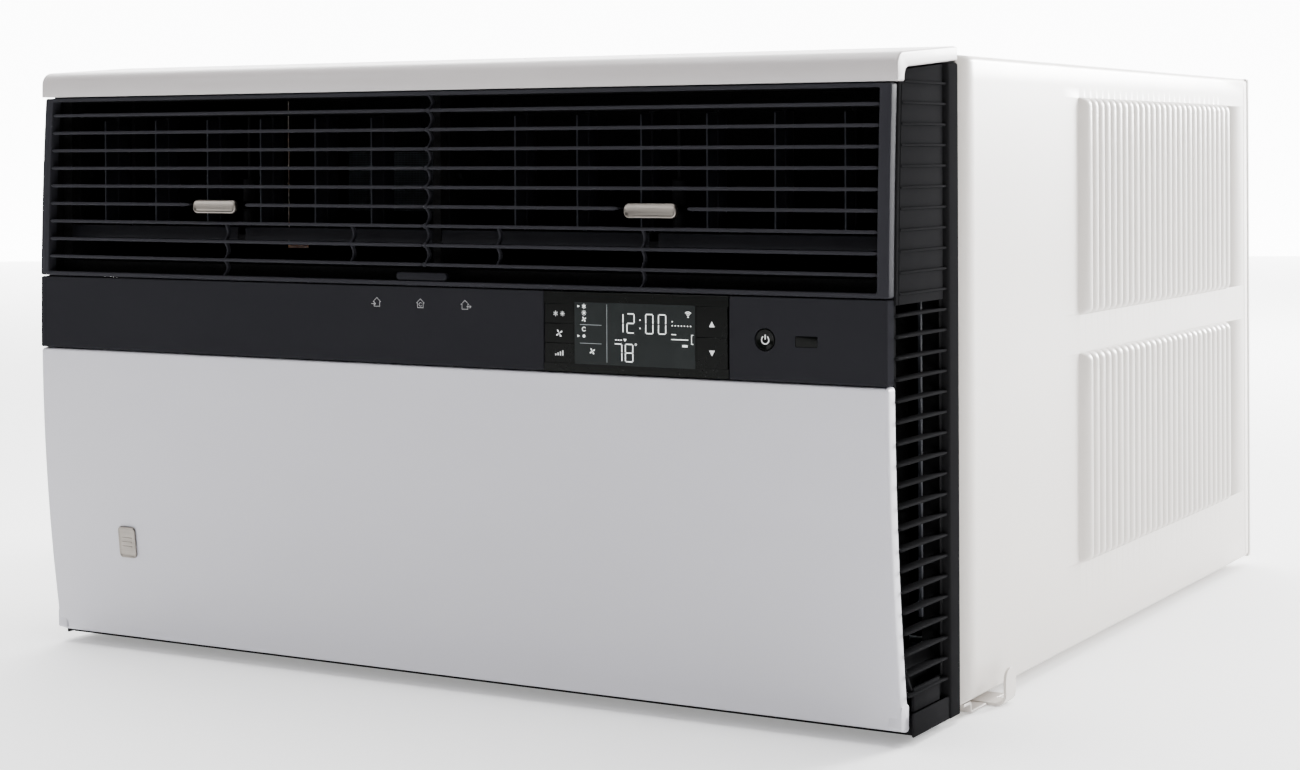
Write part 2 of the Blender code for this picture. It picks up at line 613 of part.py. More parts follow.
def build_display(mats, chassis):
    """Gloss lens with two key columns, the five keys, the power button and the sensor window."""
    back = FRONT_Y + LENS_DEPTH
    loops = [rectangle(LENS_LEFT, BAND_BOTTOM + GAP, LENS_RIGHT, BAND_TOP - GAP),
             rectangle(KEY_LEFT[0] - GAP, LEFT_COLUMN[0] - GAP, KEY_LEFT[1] + GAP,
                       LEFT_COLUMN[1] + GAP),
             rectangle(KEY_RIGHT[0] - GAP, RIGHT_COLUMN[0] - GAP, KEY_RIGHT[1] + GAP,
                       RIGHT_COLUMN[1] + GAP)]
    lens = outline("display_lens", loops, "xz", FRONT_Y, back, mats["gloss"])
    attach(lens, chassis)
    columns = ((KEY_LEFT, LEFT_COLUMN, ("key_speed", "key_fan", "key_mode")),
               (KEY_RIGHT, RIGHT_COLUMN, ("key_down", "key_up")))
    for (x0, x1), (z0, z1), names in columns:
        height = (z1 - z0 + GAP) / len(names)
        for index, name in enumerate(names):
            low = z0 + index * height
            middle = ((x0 + x1) / 2, FRONT_Y, low + height / 2)
            press = pivot(name + "_axis", middle, chassis)
            body = [((x0, FRONT_Y, low), (x1, back, low + height - GAP))]
            attach(boxes(name, body, mats["gloss"]), press)
    x, z = POWER_PLACE
    press = pivot("power_axis", (x, FRONT_Y, z), chassis)
    profile = [(0.0, 0.0040), (POWER_RADIUS, 0.0040), (POWER_RADIUS, 0.0003),
               (POWER_RADIUS - 0.0003, 0.0), (0.0, 0.0)]
    button = turned("power_button", profile, (x, FRONT_Y, z), "y", mats["charcoal"], 24)
    attach(button, press)
    x0, z0, x1, z1 = IR_BOX
    window = [((x0, FRONT_Y + 0.0003, z0), (x1, FRONT_Y + 0.0030, z1))]
    attach(boxes("ir_window", window, mats["gloss"]), chassis)


def build_damper(mats, chassis):
    """Fresh-air slider in the lowest row of the grille, and the damper door on the bulkhead."""
    slide = pivot("damper_slide_axis", (0.0, FRONT_Y, 0.2680), chassis)
    pill = rounded_rectangle(-0.0196, 0.2656, 0.0196, 0.2706, 0.0024, 4)
    slider = outline("damper_slider", [pill], "xz", FRONT_Y + 0.0012, FRONT_Y + 0.0048,
                     mats["charcoal"])
    attach(slider, slide)
    hinge_place = (DAMPER_X, DAMPER_HINGE_Y, DAMPER_Z)
    hinge = pivot("damper_hinge_axis", hinge_place, chassis)
    door_half, door_thick = 0.0400, 0.0014
    plate = [((DAMPER_X - door_half, DAMPER_HINGE_Y - door_thick / 2, DAMPER_Z - 0.0420),
              (DAMPER_X + door_half, DAMPER_HINGE_Y + door_thick / 2, DAMPER_Z - 0.0010))]
    door = boxes("damper_door", plate, mats["white_plastic"])
    rod = [(hinge_place, "x", 0.0020, 2 * door_half + 0.0080)]
    join(door, rods("damper_rod", rod, 12, mats["white_plastic"], CUTTERS))
    attach(door, hinge)


def build_lower_panel(mats, chassis):
    """Drop-down intake door: curved shell with a side rim and a round foot at each hinge."""
    hinge = pivot("panel_hinge_axis", (0.0, PANEL_HINGE_Y, PANEL_HINGE_Z), chassis)
    low = PANEL_BOTTOM + 0.0055
    loop = arc(face_y(low) + 0.0055, low, 0.0055, 268, 185, 4)
    loop += face_points(low, PANEL_TOP, 0.0, 12)
    loop += face_points(low, PANEL_TOP, RIM_DEPTH, 12)[::-1]
    loop += [(face_y(low) + RIM_DEPTH, PANEL_BOTTOM)]
    panel = outline("lower_panel", [loop], "yz", -FACE_HALF, FACE_HALF, mats["panel"])
    hollow(panel, SKIN, lambda normal: normal.y > 0.8)
    bores = []
    for side, name in ((-1, "left"), (1, "right")):
        centre = (side * 0.32225, PANEL_HINGE_Y, PANEL_HINGE_Z)
        foot = [(centre, "x", 0.0056, 0.0083)]
        join(panel, rods("panel_foot_" + name, foot, 24, mats["panel"], CUTTERS))
        bores.append(((side * 0.3200, PANEL_HINGE_Y, PANEL_HINGE_Z), "x", 0.0017, 0.0080))
        pin_centre = (side * 0.3176, PANEL_HINGE_Y, PANEL_HINGE_Z)
        pin = rods("hinge_pin_" + name, [(pin_centre, "x", 0.0014, 0.0120)], 16, mats["steel"])
        attach(pin, chassis)
    cut(panel, rods("panel_bores", bores, 16, None, CUTTERS))
    attach(panel, hinge)
    attach(build_badge(mats), hinge)
    lift = pivot("filter_axis", (0.0, -0.3430, 0.0300), hinge)
    frame = boxes("air_filter", [((-0.3000, -0.3460, 0.0300), (0.3000, -0.3410, 0.2050))],
                  mats["filter"])
    pockets = []
    for index in range(6):
        x0 = -0.2940 + index * 0.0985
        for z0 in (0.0360, 0.1190):
            pockets.append(((x0, -0.3470, z0), (x0 + 0.0950, -0.3424, z0 + 0.0800)))
    cut(frame, boxes("filter_pockets", pockets, None, CUTTERS))
    attach(frame, lift)


def build_badge(mats):
    """Plain badge with round corners, laid against the slope of the lower panel."""
    x, z = BADGE_PLACE
    half_x, half_z = BADGE_HALF
    plate = rounded_rectangle(x - half_x, z - half_z, x + half_x, z + half_z, 0.0030, 4)
    badge = outline("badge", [plate], "xz", -0.0016, -0.0004, mats["nickel"])
    slope = math.atan((BULGE_Z - z) / LOWER_RADIUS)
    centre = Vector((0.0, face_y(z), z))
    about = Matrix.Translation((0.0, 0.0, -z))
    lean = Matrix.Rotation(slope, 4, "X")
    badge.matrix_world = Matrix.Translation(centre) @ lean @ about @ badge.matrix_world
    return badge


# ---------------------------------------------------------------- inside the chassis
def build_base_pan(mats):
    """Galvanised tray that carries the chassis inside the sleeve."""
    pan = boxes("base_pan", [((-0.3180, -0.2680, 0.0100), (0.3180, 0.3480, 0.0450))], mats["steel"])
    return hollow(pan, 0.0015, lambda normal: normal.z > 0.9)


def build_coil(name, x_half, y0, y1, z0, z1, mats):
    """Coil: one block for the fin pack, between two taller end plates."""
    coil = boxes(name, [((-x_half, y0, z0), (x_half, y1, z1))], mats["fins"])
    plates = []
    for side in (-1, 1):
        near, far = sorted((side * (x_half - 0.001), side * (x_half + 0.0015)))
        plates.append(((near, y0 - 0.003, z0 - 0.003), (far, y1 + 0.003, z1 + 0.003)))
    join(coil, boxes(name + "_end_plates", plates, mats["fins"], CUTTERS))
    return coil


def scroll_points(radius_start, radius_end, begin, end, steps):
    """Points of a spiral about the fan axis whose radius grows evenly with its angle."""
    points = []
    for index in range(steps + 1):
        share = index / steps
        angle = math.radians(begin + (end - begin) * share)
        radius = radius_start + (radius_end - radius_start) * share
        points.append((FAN_X + radius * math.cos(angle), FAN_Z + radius * math.sin(angle)))
    return points


def build_blower(mats, rotor):
    """Blower scroll, its inlet plate and the wheel inside it."""
    skin, throat_right, outlet_z = 0.0015, 0.1180, 0.2580
    first, last, begin, end, steps = 0.1120, 0.1320, 40, -180, 22
    outer = scroll_points(first, last, begin, end, steps) + [(FAN_X - last, outlet_z)]
    inner = scroll_points(first - skin, last - skin, begin, end, steps)
    loop = [(FAN_X + throat_right, outlet_z)] + outer + [(FAN_X - last + skin, outlet_z)]
    loop += inner[::-1] + [(FAN_X + throat_right - skin, outlet_z)]
    outline("blower_scroll", [loop], "xz", BLOWER_FRONT_Y, BLOWER_REAR_Y, mats["white_plastic"])
    plate = rectangle(-0.1300, 0.0200, 0.2000, 0.2560)
    inlet = arc(FAN_X, FAN_Z, 0.0780, 0, 345, 23)
    outline("blower_inlet_plate", [plate, inlet], "xz", BLOWER_FRONT_Y - 0.0018,
            BLOWER_FRONT_Y - GAP, mats["steel"])
    blades, crest, valley, wall = 20, 0.0960, 0.0880, 0.0030
    ring_out, ring_in = [], []
    for index in range(2 * blades):
        angle = math.tau * index / (2 * blades)
        reach = valley if index % 2 else crest
        across, up = math.cos(angle), math.sin(angle)
        ring_out.append((FAN_X + reach * across, FAN_Z + reach * up))
        ring_in.append((FAN_X + (reach - wall) * across, FAN_Z + (reach - wall) * up))
    wheel = outline("blower_wheel", [ring_out, ring_in], "xz", -0.2000, -0.1200, mats["black"])
    disc = arc(FAN_X, FAN_Z, crest - 0.0005, 0, 352, 44)
    bore = arc(FAN_X, FAN_Z, SHAFT_BORE, 0, 330, 11)
    join(wheel, outline("wheel_disc", [disc, bore], "xz", -0.1220, -0.1190, mats["black"]))
    attach(wheel, rotor)


def build_fan_set(mats, chassis):
    """Motor on its bracket, the shaft through it, blower wheel and condenser fan."""
    rotor = pivot("fan_axis", (FAN_X, 0.0, FAN_Z), chassis)
    build_blower(mats, rotor)
    half = [(SHAFT_BORE, 0.0550), (0.0180, 0.0550), (0.0200, 0.0480), (0.0480, 0.0420),
            (MOTOR_RADIUS, 0.0360)]
    motor_profile = half + [(radius, -height) for radius, height in half[::-1]]
    motor = turned("fan_motor", motor_profile, (FAN_X, MOTOR_Y, FAN_Z), "y", mats["painted_black"],
                   32, closed=True)
    attach(motor, chassis)
    shaft = rods("fan_shaft", [((FAN_X, -0.0010, FAN_Z), "y", 0.0060, 0.4020)], 16, mats["steel"])
    attach(shaft, rotor)
    bracket = boxes("motor_bracket", [((FAN_X - 0.0500, -0.0400, 0.0120),
                                       (FAN_X + 0.0500, 0.0200, 0.0890))], mats["steel"])
    hollow(bracket, 0.0025, lambda normal: abs(normal.y) > 0.9 or normal.z < -0.9)
    saddle = [((FAN_X, MOTOR_Y, FAN_Z), "y", MOTOR_RADIUS + GAP, 0.2)]
    cut(bracket, rods("bracket_saddle", saddle, 32, None, CUTTERS))
    attach(bracket, chassis)

    hub_profile = [(SHAFT_BORE, 0.0200), (0.0300, 0.0200), (0.0320, 0.0170), (0.0320, -0.0200),
                   (SHAFT_BORE, -0.0200)]
    fan = turned("condenser_fan", hub_profile, (FAN_X, CONDENSER_FAN_Y, FAN_Z), "y", mats["black"],
                 20, closed=True)
    bm = bmesh.new()
    blades = 5
    for index in range(blades):
        spin = Matrix.Rotation(math.tau * index / blades, 4, "Y")
        pitch = Matrix.Rotation(math.radians(32), 4, "Z")
        size = Matrix.Diagonal((0.0680, 0.0030, 0.0955, 1.0))
        reach = Matrix.Translation((0.0, 0.0, 0.0765))
        matrix = Matrix.Translation((FAN_X, CONDENSER_FAN_Y, FAN_Z)) @ spin @ reach @ pitch @ size
        bmesh.ops.create_cube(bm, size=1.0, matrix=matrix)
    join(fan, from_bmesh("fan_blades", bm, mats["black"], CUTTERS))
    ring_out = arc(FAN_X, FAN_Z, 0.1245, 0, 350, 35)
    ring_in = arc(FAN_X, FAN_Z, 0.1215, 0, 350, 35)
    join(fan, outline("slinger_ring", [ring_out, ring_in], "xz", CONDENSER_FAN_Y - 0.0060,
                      CONDENSER_FAN_Y + 0.0060, mats["black"]))
    attach(fan, rotor)


def build_walls(mats, chassis):
    """Bulkhead between the room side and the outdoor side, and the condenser fan's shroud."""
    hole = arc(FAN_X, FAN_Z, 0.0300, 0, 345, 23)
    port = rectangle(DAMPER_X - 0.0380, 0.3050, DAMPER_X + 0.0380, 0.3420)
    plate = rectangle(-0.2950, 0.0125, 0.3160, 0.3930)
    wall = outline("bulkhead", [plate, hole, port], "xz", BULKHEAD_Y, BULKHEAD_Y + BULKHEAD_THICK,
                   mats["steel"])
    attach(wall, chassis)
    throat = arc(FAN_X, FAN_Z, 0.1300, 0, 352, 44)
    face = rectangle(-0.3100, 0.0125, 0.3100, 0.3850)
    shroud = outline("condenser_shroud", [face, throat], "xz", 0.2000, 0.2020, mats["steel"])
    lip_out = arc(FAN_X, FAN_Z, 0.1320, 0, 352, 44)
    join(shroud, outline("shroud_lip", [lip_out, throat], "xz", 0.1600, 0.2010, mats["steel"]))
    attach(shroud, chassis)


def build_refrigeration(mats, chassis):
    """Compressor, accumulator and the copper lines."""
    can = [(0.0, 0.2450), (0.0250, 0.2420), (0.0550, 0.2280), (0.0680, 0.2050), (0.0700, 0.1900),
           (0.0700, 0.0450), (0.0660, 0.0250), (0.0500, 0.0150), (0.0, 0.0130)]
    place = (-0.2150, 0.0500, 0.0)
    compressor = turned("compressor", can, place, "z", mats["painted_black"], 32)
    small = [(0.0, 0.2000), (0.0150, 0.1970), (0.0260, 0.1850), (0.0280, 0.1750), (0.0280, 0.0750),
             (0.0240, 0.0600), (0.0, 0.0550)]
    accumulator = turned("accumulator", small, (-0.1130, 0.0800, 0.0), "z", mats["painted_black"], 24)
    top = 0.2450 + GAP
    discharge = bend([(-0.2150, 0.0500, top), (-0.2150, 0.0500, 0.3300), (-0.2150, 0.1500, 0.3300),
                      (-0.3170, 0.1500, 0.3300), (-0.3170, 0.2900, 0.3300)], 0.0150)
    discharge_line = tube("discharge_line", discharge, 0.0048, mats["copper"])
    suction = bend([(-0.1130, 0.0800, 0.2000 + GAP), (-0.1130, 0.0800, 0.3000),
                    (-0.1130, -0.0400, 0.3000), (-0.3040, -0.0400, 0.2800),
                    (-0.3040, -0.2950, 0.2000)], 0.0180)
    suction_line = tube("suction_line", suction, 0.0060, mats["copper"])
    turns, per_turn, radius = 3, 12, 0.0300
    coil = []
    for index in range(turns * per_turn + 1):
        angle = math.tau * index / per_turn
        height = 0.1000 + 0.0060 * index / per_turn
        coil.append((0.2400 + radius * math.cos(angle), 0.0900 + radius * math.sin(angle), height))
    coil += [(0.2700, 0.0900, 0.1400), (0.2700, 0.0900, 0.1800)]
    capillary = tube("capillary_tube", coil, 0.0014, mats["copper"])
    for obj in (compressor, accumulator, discharge_line, suction_line, capillary):
        attach(obj, chassis)


def bend(corners, radius, steps=5):
    """A path through corner points with each inner corner turned along a smooth curve."""
    points = [Vector(corners[0])]
    for before, corner, after in zip(corners, corners[1:], corners[2:]):
        corner = Vector(corner)
        back = (Vector(before) - corner).normalized() * radius
        ahead = (Vector(after) - corner).normalized() * radius
        for index in range(steps + 1):
            share = index / steps
            first = back * (1 - share) ** 2
            points.append(corner + first + ahead * share ** 2)
    points.append(Vector(corners[-1]))
    return [tuple(point) for point in points]


def build_electrics(mats, chassis):
    """Control box behind the bulkhead, open towards the side."""
    box = boxes("control_box", [((0.1900, -0.0850, 0.2500), (0.3080, 0.0600, 0.3700))], mats["steel"])
    hollow(box, 0.0015, lambda normal: normal.x > 0.9)
    attach(box, chassis)


def build_cord_gland(mats, side_wall):
    """Rubber bush in the left side wall, where the supply cord enters."""
    x, y, z = GLAND_PLACE
    hole = [((x, y, z), "x", 0.0052, 0.0200)]
    cut(side_wall, rods("gland_hole", hole, 24, None, CUTTERS))
    bore, barrel, flange = 0.0038, 0.0049, 0.0066
    profile = [(bore, 0.0070), (barrel, 0.0070), (barrel, 0.0), (flange, 0.0), (flange, -0.0012),
               (bore, -0.0012)]
    return turned("cord_gland", profile, (x - GAP, y, z), "x", mats["rubber"], 20, closed=True)


def main():
    """Build every piece and parent the chassis pieces to the slide."""
    reset_scene()
    mats = make_materials()
    build_sleeve(mats)
    build_sill_rail(mats)
    build_rear_guard(mats)
    chassis = pivot("chassis_slide_axis", (0.0, 0.0, 0.0100))
    left_wall = build_side_grille("side_grille_left", -1, mats)
    fixed = [build_base_pan(mats), build_front_frame(mats), left_wall,
             build_cord_gland(mats, left_wall),
             build_side_grille("side_grille_right", 1, mats),
             build_top_trim(mats), build_discharge_grille(mats), build_discharge_duct(mats),
             build_control_band(mats),
             build_coil("evaporator_coil", 0.2850, -0.3200, -0.2750, 0.0260, 0.2460, mats),
             build_coil("condenser_coil", 0.3000, 0.2700, 0.3250, 0.0200, 0.3800, mats)]
    for obj in fixed:
        attach(obj, chassis)
    build_louver_bank(-1, "left", mats, chassis)
    build_louver_bank(1, "right", mats, chassis)
    build_display(mats, chassis)
    build_damper(mats, chassis)
    build_lower_panel(mats, chassis)
    build_fan_set(mats, chassis)
    build_walls(mats, chassis)
    build_refrigeration(mats, chassis)
    build_electrics(mats, chassis)


main()
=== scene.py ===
"""Looks of a window air conditioner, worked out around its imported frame.

Every piece stands in the frame's own coordinates: metres, +Z up, the front facing -Y and
+X on the right. Its surfaces are whole numpy arrays, and its finishes are node materials
on Object coordinates.
"""

import json
import logging
import math
from dataclasses import dataclass, field
from enum import Enum
from typing import Callable, Optional, Sequence, Union

import bmesh
import bpy
import numpy as np
from mathutils import Matrix, Vector


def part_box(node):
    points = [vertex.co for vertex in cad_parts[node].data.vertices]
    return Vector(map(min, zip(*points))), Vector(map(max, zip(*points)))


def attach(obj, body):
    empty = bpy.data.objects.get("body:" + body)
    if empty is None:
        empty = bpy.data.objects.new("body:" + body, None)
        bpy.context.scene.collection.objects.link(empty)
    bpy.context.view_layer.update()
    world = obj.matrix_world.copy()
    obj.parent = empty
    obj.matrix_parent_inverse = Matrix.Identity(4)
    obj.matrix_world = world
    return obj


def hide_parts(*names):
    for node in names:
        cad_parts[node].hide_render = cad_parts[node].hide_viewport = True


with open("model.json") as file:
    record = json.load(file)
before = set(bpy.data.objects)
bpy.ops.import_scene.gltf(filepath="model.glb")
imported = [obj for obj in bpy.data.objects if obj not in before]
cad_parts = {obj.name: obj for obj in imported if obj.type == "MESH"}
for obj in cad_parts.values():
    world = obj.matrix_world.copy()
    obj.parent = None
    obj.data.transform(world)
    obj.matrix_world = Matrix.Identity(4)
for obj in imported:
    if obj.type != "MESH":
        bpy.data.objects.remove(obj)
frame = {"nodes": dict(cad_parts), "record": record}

LOG = logging.getLogger("window_unit")
MM = 0.001

Colour = tuple[float, float, float]
Value = Union["Wire", float, int, tuple, Vector]
Depth = Callable[[np.ndarray], np.ndarray]


def tint(red: int, green: int, blue: int) -> Colour:
    """Turn a display colour of 0 to 255 into the linear colour that shaders use.

    Args:
        red: red share.
        green: green share.
        blue: blue share.

    Returns:
        The linear colour.
    """
    shares = np.array((red, green, blue)) / 255.0
    linear = np.where(shares > 0.04045, ((shares + 0.055) / 1.055) ** 2.4, shares / 12.92)
    return tuple(float(share) for share in linear)


# ---- shader maths
class Wire:
    """One value in a node tree; arithmetic on it adds Math nodes."""

    def __init__(self, tree: "Tree", socket: bpy.types.NodeSocket) -> None:
        """Keep the tree and the output socket that carries the value."""
        self.tree = tree
        self.socket = socket

    def _math(self, operation: str, *values: Value) -> "Wire":
        """Add one Math node over this value and others, in the order given."""
        return self.tree.node("ShaderNodeMath", {"operation": operation}, dict(enumerate(values)))

    def __add__(self, other: Value) -> "Wire":
        """This plus another."""
        return self._math("ADD", self, other)

    __radd__ = __add__

    def __sub__(self, other: Value) -> "Wire":
        """This less another."""
        return self._math("SUBTRACT", self, other)

    def __rsub__(self, other: Value) -> "Wire":
        """Another less this."""
        return self._math("SUBTRACT", other, self)

    def __mul__(self, other: Value) -> "Wire":
        """This times another."""
        return self._math("MULTIPLY", self, other)

    __rmul__ = __mul__

    def sine(self) -> "Wire":
        """Sine of this value in radians."""
        return self._math("SINE", self)

    def most(self, other: Value) -> "Wire":
        """The larger of this and another."""
        return self._math("MAXIMUM", self, other)

    def step(self, low: float, high: float) -> "Wire":
        """Smooth step from 0 at low to 1 at high."""
        return self.tree.node(
            "ShaderNodeMapRange", {"interpolation_type": "SMOOTHSTEP"},
            {"Value": self, "From Min": low, "From Max": high})

    def between(self, low: float, high: float) -> "Wire":
        """Map 0..1 onto low..high, held at both ends."""
        return self.tree.node("ShaderNodeMapRange", {}, {"Value": self, "To Min": low, "To Max": high})


class Tree:
    """A material's node tree, with one method that adds any node."""

    def __init__(self, name: str) -> None:
        """Start a material that holds a Principled shader and its output.

        Args:
            name: the material's name.
        """
        self.material = bpy.data.materials.new(name)
        self.material.use_nodes = True
        self.nodes = self.material.node_tree.nodes
        self.links = self.material.node_tree.links
        self.shader = self.nodes["Principled BSDF"]

    def node(self, kind: str, settings: Optional[dict] = None, sockets: Optional[dict] = None,
             output: Union[int, str] = 0) -> Wire:
        """Add a node.

        Args:
            kind: the node's type.
            settings: properties that are set first; "stops" fills a colour ramp.
            sockets: values or links, by socket name or number.
            output: which output is wanted.

        Returns:
            The wanted output.
        """
        made = self.nodes.new(kind)
        for key, value in (settings or {}).items():
            if key == "stops":
                self._stops(made.color_ramp.elements, value)
            else:
                setattr(made, key, value)
        for key, value in (sockets or {}).items():
            self.feed(made.inputs[key], value)
        return Wire(self, made.outputs[output])

    @staticmethod
    def _stops(elements: bpy.types.ColorRampElements, stops: Sequence[tuple]) -> None:
        """Give a ramp its (place, colour) stops.

        Args:
            elements: the ramp's elements.
            stops: place and colour of each.
        """
        while len(elements) < len(stops):
            elements.new(1.0)
        for element, (place, colour) in zip(elements, stops):
            element.position = place
            element.color = (*colour, 1.0)

    def feed(self, socket: bpy.types.NodeSocket, value: Value) -> None:
        """Link a wire to a socket, or set the socket's own value.

        Args:
            socket: the input.
            value: a wire, a number or a colour.
        """
        if isinstance(value, Wire):
            self.links.new(value.socket, socket)
        elif socket.type == "RGBA":
            socket.default_value = (*value[:3], 1.0)
        else:
            socket.default_value = value

    def set(self, **sockets: Value) -> None:
        """Feed the shader's sockets, named with _ for a space, as in Base_Color."""
        for key, value in sockets.items():
            self.feed(self.shader.inputs[key.replace("_", " ")], value)

    def place(self) -> Wire:
        """Object coordinates, in metres."""
        return self.node("ShaderNodeTexCoord", output="Object")

    def stretched(self, scale: tuple, turn: tuple = (0.0, 0.0, 0.0)) -> Wire:
        """Object coordinates scaled by an amount along each axis, after a turn."""
        return self.node("ShaderNodeMapping", {}, {"Vector": self.place(), "Scale": scale, "Rotation": turn})

    def axis(self, name: str) -> Wire:
        """One Object coordinate: X, Y or Z."""
        return self.node("ShaderNodeSeparateXYZ", {}, {"Vector": self.place()}, output=name)

    def noise(self, scale: float, detail: float = 3.0, rough: float = 0.55,
              stretch: tuple = (1.0, 1.0, 1.0)) -> Wire:
        """Cloudy noise of about 0 to 1, with scale cells to a metre."""
        sockets = {"Vector": self.stretched(stretch), "Scale": scale, "Detail": detail, "Roughness": rough}
        return self.node("ShaderNodeTexNoise", {}, sockets, output="Fac")

    def cells(self, scale: float, output: str = "Distance", feature: str = "F1") -> Wire:
        """Cell pattern, with scale cells to a metre."""
        return self.node("ShaderNodeTexVoronoi", {"feature": feature},
                         {"Vector": self.place(), "Scale": scale}, output=output)

    def mix(self, share: Value, first: Value, second: Value) -> Wire:
        """Colour that goes from the first to the second."""
        return self.node("ShaderNodeMix", {"data_type": "RGBA"}, {0: share, 6: first, 7: second}, output=2)

    def relief(self, height: Wire, depth: float, strength: float = 1.0, under: Optional[Wire] = None) -> Wire:
        """Bump of a real depth in metres, over another relief if one is given.

        Args:
            height: height of 0 to 1.
            depth: what 1 is, in metres.
            strength: share that is used.
            under: relief that this one lies on.

        Returns:
            The normal.
        """
        sockets = {"Height": height, "Distance": depth, "Strength": strength}
        if under is not None:
            sockets["Normal"] = under
        return self.node("ShaderNodeBump", {}, sockets)


# ---- finishes
@dataclass(frozen=True)
class Finish:
    """A finish: its material's name, the record's slot, and its main colour."""

    name: str
    slot: str
    colour: Colour
    roughness: float = 0.5
    metallic: float = 0.0

    def material(self) -> bpy.types.Material:
        """The finish's material, made the first time that it is asked for.

        Returns:
            The material.
        """
        ready = bpy.data.materials.get(self.name)
        if ready is not None:
            return ready
        tree = Tree(self.name)
        tree.set(Metallic=self.metallic)
        self.dress(tree)
        tree.material.diffuse_color = (*self.colour, 1.0)
        return tree.material

    def shade(self, factor: float) -> Colour:
        """The main colour times a factor."""
        return tuple(min(1.0, part * factor) for part in self.colour)

    def dress(self, tree: Tree) -> None:
        """Give a fresh tree its nodes."""
        raise NotImplementedError


@dataclass(frozen=True)
class SheetPaint(Finish):
    """Baked paint on steel: orange peel, faint clouding and a thin clear gloss."""

    peel: float = 420.0
    coat: float = 0.25

    def dress(self, tree: Tree) -> None:
        """Clouding shifts the colour, and two scales of noise raise the peel.

        Args:
            tree: the material's tree.
        """
        cloud = tree.noise(5.0, 4.0)
        speck = tree.noise(self.peel * 3.0, 2.0)
        share = (cloud * 0.7 + speck * 0.3).step(0.25, 0.8)
        tree.set(Base_Color=tree.mix(share, self.shade(0.965), self.shade(1.02)))
        tree.set(Roughness=tree.noise(38.0, 5.0).between(self.roughness - 0.05, self.roughness + 0.07))
        tree.set(Coat_Weight=self.coat, Coat_Roughness=0.22)
        coarse = tree.relief(tree.noise(self.peel, 3.0), 0.05 * MM, 0.35)
        tree.set(Normal=tree.relief(speck, 0.015 * MM, 0.4, coarse))


@dataclass(frozen=True)
class Moulding(Finish):
    """Injection-moulded plastic with a spark-eroded grain and faint flow marks."""

    grain: float = 1700.0
    depth: float = 0.035 * MM
    contrast: float = 0.05
    shine: float = 0.5

    def dress(self, tree: Tree) -> None:
        """Grain lifts the surface; flow marks run along the moulding and shift the colour.

        Args:
            tree: the material's tree.
        """
        grain = tree.noise(self.grain, 3.0, 0.65)
        flow = tree.noise(9.0, 4.0, 0.6, (1.0, 2.5, 3.0))
        share = (flow * 0.75 + grain * 0.25).step(0.3, 0.75)
        low, high = self.shade(1.0 - self.contrast), self.shade(1.0 + self.contrast)
        tree.set(Base_Color=tree.mix(share, low, high), Specular_IOR_Level=self.shine)
        rubbed = tree.noise(26.0, 6.0, 0.7).step(0.5, 0.78)
        tree.set(Roughness=grain.between(self.roughness + 0.08, self.roughness - 0.03) - rubbed * 0.05)
        pits = tree.cells(self.grain * 0.6)
        under = tree.relief(pits, self.depth * 0.6, 0.35)
        tree.set(Normal=tree.relief(grain, self.depth, 0.5, under))


@dataclass(frozen=True)
class Gloss(Finish):
    """Polished acrylic, with a trace of finger marks."""

    def dress(self, tree: Tree) -> None:
        """Smears raise the roughness a little in cloudy patches.

        Args:
            tree: the material's tree.
        """
        smear = tree.noise(55.0, 6.0, 0.65, (1.0, 1.0, 0.6)).step(0.45, 0.75)
        tree.set(Base_Color=tree.mix(smear, self.colour, self.shade(1.35)))
        tree.set(Roughness=smear.between(self.roughness, self.roughness + 0.07))
        tree.set(Coat_Weight=0.03, Coat_Roughness=0.03, Specular_IOR_Level=0.06)
        tree.set(Normal=tree.relief(tree.noise(24.0, 2.0), 0.01 * MM, 0.05))


@dataclass(frozen=True)
class Brushed(Finish):
    """Metal brushed along X: long thin scratches in colour, gloss and relief."""

    along: tuple = (14.0, 620.0, 620.0)

    def dress(self, tree: Tree) -> None:
        """Noise stretched a long way along the brushing makes the scratches.

        Args:
            tree: the material's tree.
        """
        scratch = tree.noise(2.2, 5.0, 0.75, self.along)
        cloud = tree.noise(70.0, 3.0)
        share = (scratch * 0.7 + cloud * 0.3).step(0.3, 0.7)
        tree.set(Base_Color=tree.mix(share, self.shade(0.8), self.shade(1.1)))
        tree.set(Roughness=scratch.between(self.roughness + 0.1, self.roughness - 0.08))
        tree.set(Normal=tree.relief(scratch, 0.02 * MM, 0.5))


@dataclass(frozen=True)
class Spangle(Finish):
    """Zinc-coated sheet: crystals of slightly different grey and gloss."""

    crystal: float = 150.0

    def dress(self, tree: Tree) -> None:
        """Each crystal takes its own grey from its cell's colour.

        Args:
            tree: the material's tree.
        """
        hue = tree.cells(self.crystal, "Color")
        grey = tree.node("ShaderNodeSeparateColor", {}, {"Color": hue}, output="Red")
        cloud = tree.noise(30.0, 4.0)
        share = grey * 0.65 + cloud * 0.35
        tree.set(Base_Color=tree.mix(share, self.shade(0.72), self.shade(1.12)))
        tree.set(Roughness=grey.between(self.roughness - 0.1, self.roughness + 0.14))
        edge = tree.cells(self.crystal, feature="DISTANCE_TO_EDGE").step(0.0, 0.12)
        tree.set(Normal=tree.relief(edge, 0.01 * MM, 0.5))


